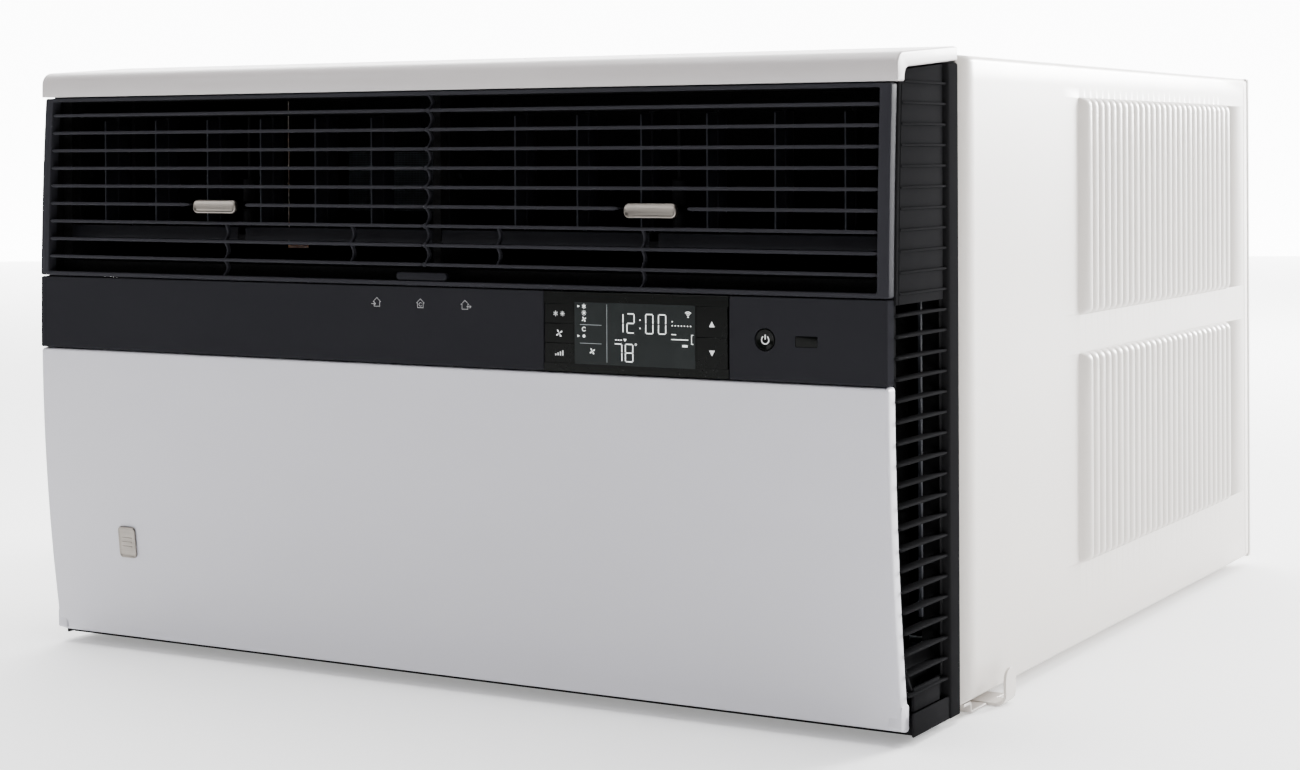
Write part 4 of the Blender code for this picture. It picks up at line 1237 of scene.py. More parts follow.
    def tab(self) -> Shape:
        """Strip that runs out from the plate, turns up and ends in a round head.

        Its centre line is straight, a quarter circle and straight again; the width shrinks
        as a circle towards the head.

        Returns:
            The shape.
        """
        reach, radius, half, head = 0.339, 0.006, 8.0 * MM, 0.0234
        bottom = 1.0 * MM
        swing = np.radians(np.linspace(-90.0, 0.0, 8))
        bend = np.stack((reach - radius + radius * np.cos(swing), bottom + radius + radius * np.sin(swing)),
                        1)
        rise = np.linspace(bottom + radius, head, 12)[1:]
        line = np.vstack(([(0.315, bottom)], bend, np.stack((np.full(11, reach), rise), 1)))
        left = np.clip((head - line[:, 1]) / half, 0.0, 1.0)
        width = half * np.sqrt(1.0 - (1.0 - left) ** 2) + 0.4 * MM
        ahead = np.gradient(line, axis=0)
        ahead /= np.linalg.norm(ahead, axis=1)[:, None]
        side = np.stack((ahead[:, 1], -ahead[:, 0]), 1) * 0.95 * MM
        centre = -0.213
        corners = [(1, -1), (1, 1), (-1, 1), (-1, -1)]
        rings = np.stack([np.stack((line[:, 0] + a * side[:, 0], centre + b * width,
                                    line[:, 1] + a * side[:, 1]), 1)
                          for a, b in corners], 1)
        return loft(rings)

    def guard(self) -> Shape:
        """Stamped tray over the rear: sheet with three rows of upright slots and a rolled rim.

        Returns:
            The shape.
        """
        low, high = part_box("rear_guard")
        across, back_x, hole_x = self.slotted(low.x, high.x, -0.299 + 0.03 * np.arange(20), 0.023,
                                              high.y - low.y)
        up, back_z, hole_z = self.slotted(low.z, high.z, 0.03 + 0.119 * np.arange(3), 0.108, high.y - low.y)
        back = np.maximum(back_x[None, :], back_z[:, None])
        shape = sheet(np.stack(np.broadcast_arrays(across[None, :], high.y - back, up[:, None]), -1))
        keep = ~(hole_z[:, None] & hole_x[None, :]).reshape(-1)
        return Shape(shape.points, shape.quads[keep]).facing(0, 1, 0)

    @staticmethod
    def slotted(low: float, high: float, starts: np.ndarray, slot: float,
                deep: float) -> tuple[np.ndarray, np.ndarray, np.ndarray]:
        """Places along one direction of the guard, with a rolled rim at both ends.

        Args:
            low: where the guard starts.
            high: where it ends.
            starts: where each slot starts.
            slot: length of a slot.
            deep: depth of the rim.

        Returns:
            The places, how far back the sheet lies at each, and which steps are a slot.
        """
        rim = np.array((0.0, 0.3, 2.5)) * MM
        inner = np.column_stack((starts, starts + slot)).ravel()
        places = np.concatenate((low + rim, inner, high - rim[::-1]))
        back = np.zeros(len(places))
        back[[1, -2]] = 0.9 * MM
        back[[0, -1]] = deep
        hole = np.zeros(len(places) - 1, bool)
        hole[3:-3:2] = True
        return places, back, hole


# ---- frame and trim of the front
@dataclass
class FrontFrame:
    """Charcoal flange ring with its bottom rail and hinge ears, the top trim and the side walls.

    Attributes:
        half, bottom, top, rear: reach of the ring, from the plain node's box.
        flange: depth of the ring.
        wall_outer: x of the side walls' outer face.
        pitch: spacing of the ribs and slats.
        rib_top: height of the uppermost rib.
        ribs, slats: how many there are.
        rib: thickness of a rib.
        sweep_y: front limit of the rail, clear of the swinging panel's foot.
        wall_base: height where the closed part of a side wall starts.
        groove: gap between the closed part and the ring.
    """

    half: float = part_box("front_frame")[1].x
    bottom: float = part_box("front_frame")[0].z
    top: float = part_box("front_frame")[1].z
    rear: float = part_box("front_frame")[1].y
    flange: float = 14.3 * MM
    wall_outer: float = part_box("side_grille_right")[1].x
    pitch: float = 12.35 * MM
    rib_top: float = 0.3877
    ribs: int = 11
    slats: int = 19
    rib: float = 1.5 * MM
    sweep_y: float = -0.3356
    wall_base: float = 0.258
    groove: float = 2.6 * MM

    def build(self) -> None:
        """Make the ring, the trim and both side walls."""
        Piece("front_frame_moulded", self.ring(), CHARCOAL, "front_frame", bevel=0.5 * MM).make()
        Piece("top_trim_moulded", self.trim(), TRIM_GREY, "top_trim", bevel=0.35 * MM).make()
        right = self.side_wall()
        Piece("side_wall_right", right, CHARCOAL, "side_grille_right", bevel=0.25 * MM).make()
        # The rib behind the slats is a lighter grey than the charcoal wall: painted highlight.
        rib = block((0.3183, -0.308, 0.069), (0.3204, -0.3052, 0.26), 0.4 * MM)
        Piece("side_wall_ribs", rib + rib.mirrored(), PAINTED_HIGHLIGHT_GREY).make()
        Piece("side_wall_left", right.mirrored(), CHARCOAL, "side_grille_left", bevel=0.25 * MM).make()

    def ring(self) -> Shape:
        """Flange ring, rail, cheeks and ears.

        Returns:
            The shape.
        """
        front = self.rear - self.flange
        outer = Outline.rounded((-self.half, self.bottom), (self.half, self.top), 1.5 * MM)
        inner = Outline.rounded((-0.311, 0.017), (0.311, 0.392), 1.5 * MM)
        ring = framed(outer, inner, plane(front), self.flange, 1.2 * MM, 0.6 * MM)
        rail = block((-0.3265, self.sweep_y, self.bottom), (0.3265, front + 0.5 * MM, 0.014))
        cheek = block((0.3273, -0.34, self.bottom), (0.329, front + 0.5 * MM, 0.0185))
        floor = block((0.3225, self.sweep_y, 0.013), (0.328, front + 0.5 * MM, 0.015))
        ear = self.ear()
        side = cheek + floor + ear
        return ring + rail + side + side.mirrored()

    def ear(self) -> Shape:
        """Ear that holds a hinge pin: a round nose that widens back into the rail.

        Returns:
            The shape.
        """
        y, z = -0.3462, 0.0178
        swing = np.radians(np.linspace(100.0, 315.0, 12))
        nose = [(y + 2.9 * MM * math.cos(a), z + 2.9 * MM * math.sin(a)) for a in swing]
        reach = [(y + 0.005, z + 0.0028), (y + 0.012, z + 0.0075), (y + 0.06, z + 0.012),
                 (y + 0.06, z + 0.03), (y + 0.0205, z + 0.03)]
        return slab(Outline.of(nose + reach), 0.312, 0.3165, Axis.X, 0.3 * MM, 2)

    def trim(self) -> Shape:
        """Cap over the front: side view of a sloping top and a short leg, carried along X.

        Returns:
            The shape.
        """
        low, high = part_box("top_trim")
        leg = low.z
        swing = np.radians(np.linspace(180.0, 93.0, 10))
        radius, top_y, top_z = 9.0 * MM, -0.3625, 0.405
        nose = [(top_y + radius + radius * math.cos(a), top_z - radius + radius * math.sin(a)) for a in swing]
        front = [(float(FACE.y(leg)) + 0.3 * MM, leg), (float(FACE.y(leg)), leg + 0.6 * MM)]
        tail = [(high.y - 0.004, high.z - 0.2 * MM), (high.y, high.z - 0.8 * MM), (high.y, 0.4021)]
        inner = [(-0.346, 0.3962), (-0.35, 0.3945), (-0.3516, 0.3915), (-0.352, leg)]
        outline = Outline.of((front + nose + tail + inner)[::-1])
        return slab(outline, low.x, high.x, Axis.X, 1.3 * MM, 4)

    def inner_edge(self, z: float) -> float:
        """Front edge of a side wall at a height: just behind the mouldings' rim."""
        return float(FACE.y(z)) + 8.5 * MM + SEAM

    def side_wall(self) -> Shape:
        """Right wall: closed and ribbed above, nineteen open slats below, a rib behind them.

        Returns:
            The shape.
        """
        rear = self.rear - self.flange - 0.3 * MM
        groove, base, outer = self.groove, self.wall_base, self.wall_outer
        skin = outer - 1.3 * MM
        heights = np.linspace(base, 0.3868, 10)
        front = [(self.inner_edge(z), z) for z in heights]
        head = [(-0.3506, 0.389), (-0.3498, 0.3922), (-0.3478, 0.3942), (-0.345, 0.3948),
                (rear - groove, 0.3995)]
        panel = Outline.of((front + head + [(rear - groove, base)])[::-1])
        parts = [slab(panel, skin - 2.0 * MM, skin, Axis.X, 0.4 * MM, 2)]
        parts.append(block((skin - 3.0 * MM, rear - groove - 1.0 * MM, 0.032), (skin - 2.2 * MM, rear, 0.399),
                           0.2 * MM))
        levels = self.rib_top - self.pitch * np.arange(self.ribs + self.slats)
        for number, z in enumerate(levels):
            deep = skin - 1.0 * MM if number < self.ribs else skin - 6.5 * MM
            first = self.inner_edge(z) + (3.2 * MM if number < self.ribs else 0.3 * MM)
            first = max(first, -0.3506 + 3.0 * MM) if z > 0.3868 else first
            thick = self.rib / 2 if number < self.ribs else 0.8 * MM
            parts.append(block((deep, first, z - thick), (outer, rear, z + thick), 0.5 * MM))
        line_y = [self.inner_edge(z) + 3.2 * MM for z in heights]
        edge = [(y, z) for y, z in zip(line_y, heights)]
        strip = Outline.of([(y + 0.8 * MM, z) for y, z in edge] + edge[::-1])
        parts.append(slab(strip, skin - 0.2 * MM, skin + 0.5 * MM, Axis.X))
        parts.append(self.stile(rear))
        parts.append(block((skin - 2.5 * MM, -0.3345, 0.0185), (skin - 0.4 * MM, -0.296, 0.0322), 0.4 * MM))
        parts.append(block((skin - 5.0 * MM, -0.296, 0.0185), (skin - 3.0 * MM, rear, 0.0322), 0.4 * MM))
        return joined(parts)

    def stile(self, rear: float) -> Shape:
        """Thin upright behind the mouldings' rim that carries the front ends of the slats.

        Args:
            rear: y of the wall's rear edge; not used.

        Returns:
            The shape.
        """
        heights = np.linspace(0.03, 0.26, 14)
        edge = [(max(self.inner_edge(z), self.sweep_y) if z < 0.034 else self.inner_edge(z), z)
                for z in heights]
        outline = Outline.of([(y + 2.2 * MM, z) for y, z in edge] + edge[::-1])
        return slab(outline, self.wall_outer - 8.0 * MM, self.wall_outer - 2.6 * MM, Axis.X, 0.3 * MM, 1)


# ---- discharge grille
@dataclass
class Grille:
    """Discharge grille: frame, nine slats, a knuckled middle web and four short webs.

    Attributes:
        half, low, high: reach of the frame.
        opening_half, opening_low, opening_high: reach of its opening.
        depth: depth of the frame.
        pitch: spacing of the slats.
        top_slat: height of the uppermost slat.
        slats: how many there are.
        thick, slat_depth: thickness and depth of a slat.
        web_x: place of the middle web.
        lever_x, lever_gap: place of the levers, and half the gap left for one.
    """

    half: float = 0.3257
    low: float = 0.2622
    high: float = 0.3868
    opening_half: float = 0.319
    opening_low: float = 0.265
    opening_high: float = 0.3842
    depth: float = 8.0 * MM
    pitch: float = 12.35 * MM
    top_slat: float = 0.3745
    slats: int = 9
    thick: float = 2.2 * MM
    slat_depth: float = 9.0 * MM
    web_x: float = 2.0 * MM
    lever_x: float = 0.169
    lever_gap: float = 24.3 * MM

    def build(self) -> None:
        """Make the grille as one moulding."""
        parts = [self.frame()] + self.all_slats() + self.webs()
        Piece("discharge_grille_moulded", joined(parts), GRILLE_BLACK, "discharge_grille").make()

    def frame(self) -> Shape:
        """Picture frame round the opening, following the front's curve.

        Returns:
            The shape.
        """
        outer = Outline.rounded((-self.half - 0.6 * MM, self.low), (self.half + 0.6 * MM, self.high),
                                1.6 * MM, 14)
        inner = Outline.rounded((-self.opening_half, self.opening_low),
                                (self.opening_half, self.opening_high),
                                1.2 * MM, 14)
        return framed(outer, inner, FACE.y, self.depth, 1.3 * MM, 0.6 * MM)

    def slat(self, z: float, x0: float, x1: float) -> Shape:
        """One slat: a round-nosed section carried along X, drawn back and thinned at its ends.

        Args:
            z: its height.
            x0: where it starts.
            x1: where it ends.

        Returns:
            The shape.
        """
        nose = np.radians(np.linspace(90.0, 270.0, 8))
        radius = self.thick / 2
        section = np.stack((radius * (1 + np.cos(nose)), radius * np.sin(nose)), 1)
        section = np.vstack((section, [(self.slat_depth, -0.5 * MM), (self.slat_depth, 0.5 * MM)]))
        front = float(FACE.y(z)) + 0.2 * MM
        ease = np.array((0.0, 0.8, 2.0, 4.0)) * MM
        along = np.concatenate((x0 + ease, x1 - ease[::-1]))
        slim = np.array((0.45, 0.72, 0.92, 1.0, 1.0, 0.92, 0.72, 0.45))
        back = (1.0 - slim) * 2.2 * MM
        rings = np.stack((np.broadcast_to(along[:, None], (8, len(section))),
                          front + back[:, None] + section[None, :, 0] * np.ones((8, 1)),
                          z + section[None, :, 1] * slim[:, None]), -1)
        return loft(rings)

    def all_slats(self) -> list[Shape]:
        """Every slat, broken at the middle web, at the handles and over the slider.

        Returns:
            The slats.
        """
        parts = []
        for number in range(self.slats):
            z = self.top_slat - number * self.pitch
            left, right = (-self.opening_half, self.web_x - 1.2 * MM), (self.web_x + 1.2 * MM,
                                                                        self.opening_half)
            spans = [left, right]
            if number == 5:
                breaks = [side * self.lever_x for side in (-1, 1)]
                spans = [(left[0], breaks[0] - self.lever_gap), (breaks[0] + self.lever_gap, left[1]),
                         (right[0], breaks[1] - self.lever_gap), (breaks[1] + self.lever_gap, right[1])]
            parts += [self.slat(z, *span) for span in spans]
        return parts

    def scallop(self, x: float, low: float, high: float, front: float, dip: float) -> Shape:
        """Upright web between two heights whose front edge is hollowed in a half sine.

        Args:
            x: place across.
            low: where it starts.
            high: where it ends.
            front: how far behind the front it stands.
            dip: depth of the hollow.

        Returns:
            The shape.
        """
        rise = np.linspace(low, high, 9)
        share = np.linspace(0.0, math.pi, 9)
        edge = FACE.y(rise) + front + dip * np.sin(share)
        outline = Outline.of(list(zip(edge + 3.4 * MM, rise)) + list(zip(edge, rise))[::-1])
        return slab(outline, x - 0.7 * MM, x + 0.7 * MM, Axis.X, 0.3 * MM, 1)

    def webs(self) -> list[Shape]:
        """Scalloped webs: full height in the middle, the lowest three gaps elsewhere.

        Returns:
            The webs and the middle web's knuckles.
        """
        levels = [self.opening_high] + [self.top_slat - k * self.pitch for k in range(self.slats)]
        levels.append(self.opening_low)
        parts = []
        for top, low in zip(levels, levels[1:]):
            slider = low < self.opening_low + 0.1 * MM
            if not slider:
                parts.append(self.scallop(self.web_x, low, top, 0.6 * MM, 5.0 * MM))
            if top < self.top_slat - 5.5 * self.pitch:
                parts += [self.scallop(x, low, top, 1.0 * MM, 4.0 * MM)
                          for x in (-0.162, -0.057, 0.057, 0.162)
                          if not (slider and abs(x) < 0.06)]
        knuckle = mm((0.0, 1.6), (0.9, 1.5), (1.5, 0.8), (1.7, 0.0), (1.5, -0.8), (0.9, -1.5), (0.0, -1.6))
        for z in levels[1:-1]:
            parts.append(turned(knuckle, (self.web_x, float(FACE.y(z)) + 2.0 * MM, z), Axis.X, 12))
        return parts


@dataclass
class LouverBanks:
    """Two banks behind the grille: tilting frames, vanes, and levers with brushed paddles."""

    axis_y: float = -0.33
    vanes: int = 6
    lever_x: float = 0.169
    lever_z: float = 0.3115

    def build(self) -> None:
        """Make both banks."""
        for side, label in ((-1, "left"), (1, "right")):
            # Bank frames and lever stems are in near-black painted shade behind the grille.
            Piece("bank_frame_" + label, self.frame(label), SHADOW_BLACK, "louver_frame_" + label).make()
            Piece("bank_bar_" + label, self.bar(label), VANE_GREY, body="louver_bank_" + label).make()
            for number in range(1, self.vanes + 1):
                node = f"vane_{label}_{number}"
                Piece(f"vane_blade_{label}_{number}", self.vane(node), VANE_GREY, node).make()
                x = middle(node)[0]
                # Thin lighter strip on each vane's front edge: a painted glint.
                edge = block((x - 0.5 * MM, -0.3434, 0.3), (x + 0.5 * MM, -0.3424, 0.3705), 0.3 * MM)
                Piece(f"vane_edge_{label}_{number}", edge, PAINTED_HIGHLIGHT_GREY, body=BODY_OF[node]).make()
            node = "louver_lever_" + label
            Piece("lever_paddle_" + label, self.paddle(side * self.lever_x), NICKEL, node,
                  crease=50.0).make()
            Piece("lever_stem_" + label, self.stem(side * self.lever_x), SHADOW_BLACK,
                  body=BODY_OF[node]).make()

    def frame(self, label: str) -> Shape:
        """Rails and end plates of one bank.

        Args:
            label: left or right.

        Returns:
            The shape.
        """
        low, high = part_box("louver_frame_" + label)
        inner, outer = low.x + 0.5 * MM, high.x - 0.5 * MM
        top = block((inner, -0.342, 0.373), (outer, -0.318, 0.3765), 0.5 * MM)
        foot = block((inner, -0.3485, 0.2885), (outer, -0.318, 0.2925), 0.5 * MM)
        ends = [block((x, -0.342, 0.2885), (x + 3.0 * MM, -0.318, 0.3765), 0.5 * MM)
                for x in (inner, outer - 3.0 * MM)]
        profile = mm((0.0, 3.0), (2.0, 2.8), (2.2, 2.4), (2.2, -3.0), (0.0, -3.0))
        pins = [turned(profile, (x, self.axis_y, 0.3325), Axis.X, 16)
                for x in (low.x + 3.0 * MM, high.x - 3.0 * MM)]
        return joined([top, foot] + ends + pins)

    def bar(self, label: str) -> Shape:
        """Broad front bar of one bank, in two lengths with a gap behind the handle's web.

        Args:
            label: left or right.

        Returns:
            The shape.
        """
        low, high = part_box("louver_frame_" + label)
        split = -0.161 if label == "left" else 0.161
        spans = [(low.x + 1.5 * MM, split - 3.0 * MM), (split + 3.0 * MM, high.x - 1.5 * MM)]
        return joined([block((x0, -0.349, 0.2885), (x1, -0.346, 0.2975), 0.9 * MM) for x0, x1 in spans])

    def vane(self, node: str) -> Shape:
        """Upright blade of lens section, with its pin.

        Args:
            node: the plain node.

        Returns:
            The shape.
        """
        low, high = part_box(node)
        x = middle(node)[0]
        front, rear = -0.343, -0.3175
        swing = np.linspace(0.0, 2 * math.pi, 20, endpoint=False)
        section = np.stack((x - 0.75 * MM * np.sin(swing),
                            (front + rear) / 2 - (rear - front) / 2 * np.cos(swing)), 1)
        blade = slab(Outline.of(section[::-1]), 0.299, 0.3715, Axis.Z, 0.3 * MM, 2)
        pin = [(0.0, high.z), (1.0 * MM, high.z), (1.3 * MM, high.z - 0.3 * MM), (1.3 * MM, low.z + 0.3 * MM),
               (1.0 * MM, low.z), (0.0, low.z)]
        return blade + turned(pin, (x, self.axis_y, 0.0), Axis.Z, 14)

    def paddle(self, x: float) -> Shape:
        """Handle: a long rounded plate with a raised rim and a shallow dished face.

        Args:
            x: place across.

        Returns:
            The shape.
        """
        half_x, half_z, radius = 18.2 * MM, 4.5 * MM, 3.6 * MM
        outline = Outline.rounded((x - half_x, self.lever_z - half_z), (x + half_x, self.lever_z + half_z),
                                  radius,
                                  1, 8)
        front = FACE.front_y
        steps = [(-1.0, 4.0), (0.0, 3.2), (0.0, 0.9), (-0.25, 0.35), (-0.75, 0.05), (-1.15, 0.15),
                 (-1.45, 0.55),
                 (-2.6, 0.75)]
        rings = np.array([lifted(outline.grown(a * MM), front + b * MM, Axis.Y) for a, b in steps])
        return loft(rings)

    def stem(self, x: float) -> Shape:
        """Stem from the paddle to its upright boss, and the pin through the bank.

        Args:
            x: place across.

        Returns:
            The shape.
        """
        front = FACE.front_y
        arm = block((x - 5.0 * MM, front + 3.0 * MM, self.lever_z - 2.4 * MM),
                    (x + 5.0 * MM, self.axis_y, self.lever_z + 2.4 * MM), 1.0 * MM)
        profile = mm((0.0, 15.0), (4.0, 15.0), (4.5, 14.4), (4.5, -14.4), (4.0, -15.0), (0.0, -15.0))
        boss = turned(profile, (x, self.axis_y, 0.315), Axis.Z, 24)
        low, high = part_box("louver_lever_right")
        pin = turned([(0.0, high.z), (1.3 * MM, high.z - 0.3 * MM), (1.3 * MM, low.z + 0.3 * MM),
                      (0.0, low.z)],
                     (x, self.axis_y, 0.0), Axis.Z, 14)
        return arm + boss + pin


# ---- marks
@dataclass(frozen=True)
class Pen:
    """Draws flat marks on an upright face: strokes and filled outlines of a small thickness."""

    surface: Depth
    thick: float = 0.12 * MM
    proud: float = 0.04 * MM

    def on_face(self, outline: Outline) -> Shape:
        """Filled outline laid on the face.

        Args:
            outline: the outline.

        Returns:
            The shape.
        """
        front = self.surface(outline.points[:, 1]) - self.proud
        rings = np.array([lifted(outline.points, front + back, Axis.Y) for back in (0.0, self.thick)])
        return loft(rings)

    def dot(self, x: float, z: float, radius: float) -> Shape:
        """Filled circle."""
        return self.on_face(Outline.circle((x, z), radius, 16))

    def polygon(self, corners: Sequence[tuple]) -> Shape:
        """Filled polygon through anticlockwise corners."""
        return self.on_face(Outline.of(corners))

    def stroke(self, line: Sequence[tuple], width: float, closed: bool = False) -> Shape:
        """Band of even width along a line; each side is the line moved along its mitre.

        Args:
            line: points of the line.
            width: width of the band.
            closed: whether the line ends where it starts.

        Returns:
            The shape.
        """
        path = np.array(line, float)
        ahead = np.roll(path, -1, 0) - path
        if not closed:
            ahead[-1] = ahead[-2]
        length = np.maximum(np.linalg.norm(ahead, axis=1), 1e-9)[:, None]
        side = np.stack((-ahead[:, 1], ahead[:, 0]), 1) / length
        before = np.roll(side, 1, 0)
        if not closed:
            before[0] = side[0]
        both = side + before
        mitre = both / np.maximum(0.5 * (both ** 2).sum(1), 0.35)[:, None] * width / 2
        corners = []
        for sign, back in ((1, 0.0), (-1, 0.0), (-1, self.thick), (1, self.thick)):
            flat = path + sign * mitre
            corners.append(lifted(flat, self.surface(flat[:, 1]) - self.proud + back, Axis.Y))
        return loft(np.stack(corners, 1), wrap=closed)

    def arc(self, x: float, z: float, radius: float, begin: float, end: float, width: float) -> Shape:
        """Band along an arc, angles in degrees."""
        swing = np.radians(np.linspace(begin, end, 20))
        return self.stroke(np.stack((x + radius * np.cos(swing), z + radius * np.sin(swing)), 1), width)

    def ring(self, x: float, z: float, radius: float, width: float) -> Shape:
        """Whole circle of a band."""
        swing = np.linspace(0.0, 2 * math.pi, 24, endpoint=False)
        return self.stroke(np.stack((x + radius * np.cos(swing), z + radius * np.sin(swing)), 1), width, True)


class Segment(Enum):
    """Bars of a seven-segment digit: two ends in units of its half width and half height."""

    TOP = ((-1, 1), (1, 1))
    UPPER_RIGHT = ((1, 1), (1, 0))
    LOWER_RIGHT = ((1, 0), (1, -1))
    FOOT = ((-1, -1), (1, -1))
    LOWER_LEFT = ((-1, 0), (-1, -1))
    UPPER_LEFT = ((-1, 1), (-1, 0))
    MIDDLE = ((-1, 0), (1, 0))


DIGITS = {
    0: (Segment.TOP, Segment.UPPER_RIGHT, Segment.LOWER_RIGHT, Segment.FOOT, Segment.LOWER_LEFT,
        Segment.UPPER_LEFT),
    1: (Segment.UPPER_RIGHT, Segment.LOWER_RIGHT),
    2: (Segment.TOP, Segment.UPPER_RIGHT, Segment.MIDDLE, Segment.LOWER_LEFT, Segment.FOOT),
    7: (Segment.TOP, Segment.UPPER_RIGHT, Segment.LOWER_RIGHT),
    8: tuple(Segment),
}


@dataclass(frozen=True)
class Digit:
    """One seven-segment digit."""

    value: int
    x: float
    z: float
    half_x: float
    half_z: float
    width: float

    def draw(self, pen: Pen) -> Shape:
        """Strokes of its lit bars, each a little short of its corners.

        Args:
            pen: what draws it.

        Returns:
            The shape.
        """
        parts = []
        for segment in DIGITS[self.value]:
            (ax, az), (bx, bz) = segment.value
            start = np.array((self.x + ax * self.half_x, self.z + az * self.half_z))
            end = np.array((self.x + bx * self.half_x, self.z + bz * self.half_z))
            short = (end - start) / np.linalg.norm(end - start) * self.width * 0.55
            parts.append(pen.stroke([start + short, end - short], self.width))
        return joined(parts)


# ---- control band
@dataclass
class ControlBand:
    """Satin band with the lens, the lit display, keys, power button, sensor window and slider."""

    half: float = 0.3257
    low: float = 0.2117
    high: float = 0.2614
    depth: float = 8.5 * MM
    lens: tuple = (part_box("display_lens")[0].x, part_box("display_lens")[1].x)
    screen: tuple = (0.1157, 0.217, 0.2001, 0.255)
    power: tuple = (0.247, 0.2362)
    proud: float = 0.16 * MM

    def build(self) -> None:
        """Make every piece of the band."""
        Piece("control_band_moulded", self.band(), BAND_SATIN, "control_band", wall=2.2 * MM,
              cut=self.holes()).make()
        # The floor behind the lens is near-black painted shade in the recess.
        Piece("band_recess", self.recess(), SHADOW_BLACK).make()
        Piece("display_glass", self.glass(), GLASS, "display_lens").make()
        x0, z0, x1, z1 = self.screen
        screen = slab(Outline.rounded((x0, z0), (x1, z1), 0.3 * MM, 1, 2), self.face - 0.03 * MM,
                      self.face + 0.4 * MM, Axis.Y)
        Piece("display_screen", screen, SCREEN).make()
        Piece("display_digits", self.digits(), LIT).make()
        Piece("display_signs", self.signs(), LIT).make()
        Piece("display_rules", self.rules(), LIT_DIM).make()
        self.keys()
        self.power_button()
        low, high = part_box("ir_window")
        window = slab(Outline.rounded((low.x, low.z), (high.x, high.z), 0.7 * MM, 1, 4), low.y, high.y,
                      Axis.Y, 0.3 * MM)
        Piece("sensor_window", window, GLASS, "ir_window").make()
        Piece("air_signs", self.houses(), PRINT_GREY).make()
        low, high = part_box("damper_slider")
        pill = slab(Outline.rounded((low.x, low.z), (high.x, high.z), 2.4 * MM, 1, 8), low.y, high.y, Axis.Y,
                    0.7 * MM, 4)
        Piece("damper_pill", pill, VANE_GREY, "damper_slider").make()

    @property
    def face(self) -> float:
        """Y of the lens's front."""
        return FACE.front_y + self.proud

    @property
    def pen(self) -> Pen:
        """Pen for marks on the flat lens and keys."""
        return Pen(plane(self.face), 0.1 * MM, 0.08 * MM)

    def band(self) -> Shape:
        """Two curved shells, left and right of the lens.

        Returns:
            The shape.
        """
        cut = 0.3 * MM
        left = tray(Outline.rounded((-self.half, self.low), (self.lens[0] - cut, self.high), 1.1 * MM, 6, 4),
                    FACE.y, self.depth, 1.0 * MM, 0.3 * MM)
        right = tray(Outline.rounded((self.lens[1] + cut, self.low), (self.half, self.high), 1.1 * MM, 6, 4),
                     FACE.y, self.depth, 1.0 * MM, 0.3 * MM)
        return left + right

    def holes(self) -> Shape:
        """Round hole for the power button and rounded window for the sensor.

        Returns:
            The shape.
        """
        x, z = self.power
        low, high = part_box("ir_window")
        start, end = FACE.front_y - 3.0 * MM, FACE.front_y + 5.0 * MM
        well = slab(Outline.circle((x, z), 6.9 * MM, 64), start, end, Axis.Y)
        return well + slab(Outline.rounded((low.x, low.z), (high.x, high.z), 0.8 * MM, 1, 4), start, end,
                           Axis.Y)

    def recess(self) -> Shape:
        """Floor behind the lens that joins the two shells."""
        return block((self.lens[0] - 2.0 * MM, FACE.front_y + 4.0 * MM, self.low + 0.5 * MM),
                     (self.lens[1] + 2.0 * MM, FACE.front_y + 5.6 * MM, self.high - 0.5 * MM))

    def glass(self) -> Shape:
        """Lens: upper and lower bars, the middle, and the thin outer edges beside the keys.

        Returns:
            The shape.
        """
        back = FACE.front_y + 2.8 * MM
        key_left, key_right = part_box("key_mode"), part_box("key_up")
        gap = 0.12 * MM
        bars = [((self.lens[0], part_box("key_mode")[1].z + gap), (key_left[1].x + gap, self.high - 0.2 * MM)),
                ((self.lens[0], self.low + 0.2 * MM), (key_left[1].x + gap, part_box("key_speed")[0].z - gap)),
                ((key_right[0].x - gap, key_right[1].z + gap), (self.lens[1], self.high - 0.2 * MM)),
                ((key_right[0].x - gap, self.low + 0.2 * MM), (self.lens[1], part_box("key_down")[0].z - gap)),
                ((key_left[1].x + gap, self.low + 0.2 * MM), (key_right[0].x - gap, self.high - 0.2 * MM))]
        return joined([slab(Outline.rounded(low, high, 0.12 * MM, 1, 1), self.face, back, Axis.Y, 0.05 * MM,
                            1)
                       for low, high in bars])

    def digits(self) -> Shape:
        """The time and the temperature in seven-segment digits.

        Returns:
            The shape.
        """
        pen = self.pen
        tall, small = (0.0025, 0.0058), (0.0026, 0.0053)
        parts = [Digit(value, x, 0.243, *tall, 0.6 * MM).draw(pen)
                 for value, x in ((1, 0.1478), (2, 0.1556), (0, 0.1687), (0, 0.1776))]
        parts += [pen.dot(0.1622, z, 0.45 * MM) for z in (0.2402, 0.2452)]
        parts += [Digit(value, x, 0.2249, *small, 0.6 * MM).draw(pen)
                  for value, x in ((7, 0.1468), (8, 0.1545))]
        parts.append(pen.ring(0.1592, 0.2302, 0.55 * MM, 0.25 * MM))
        return joined(parts)

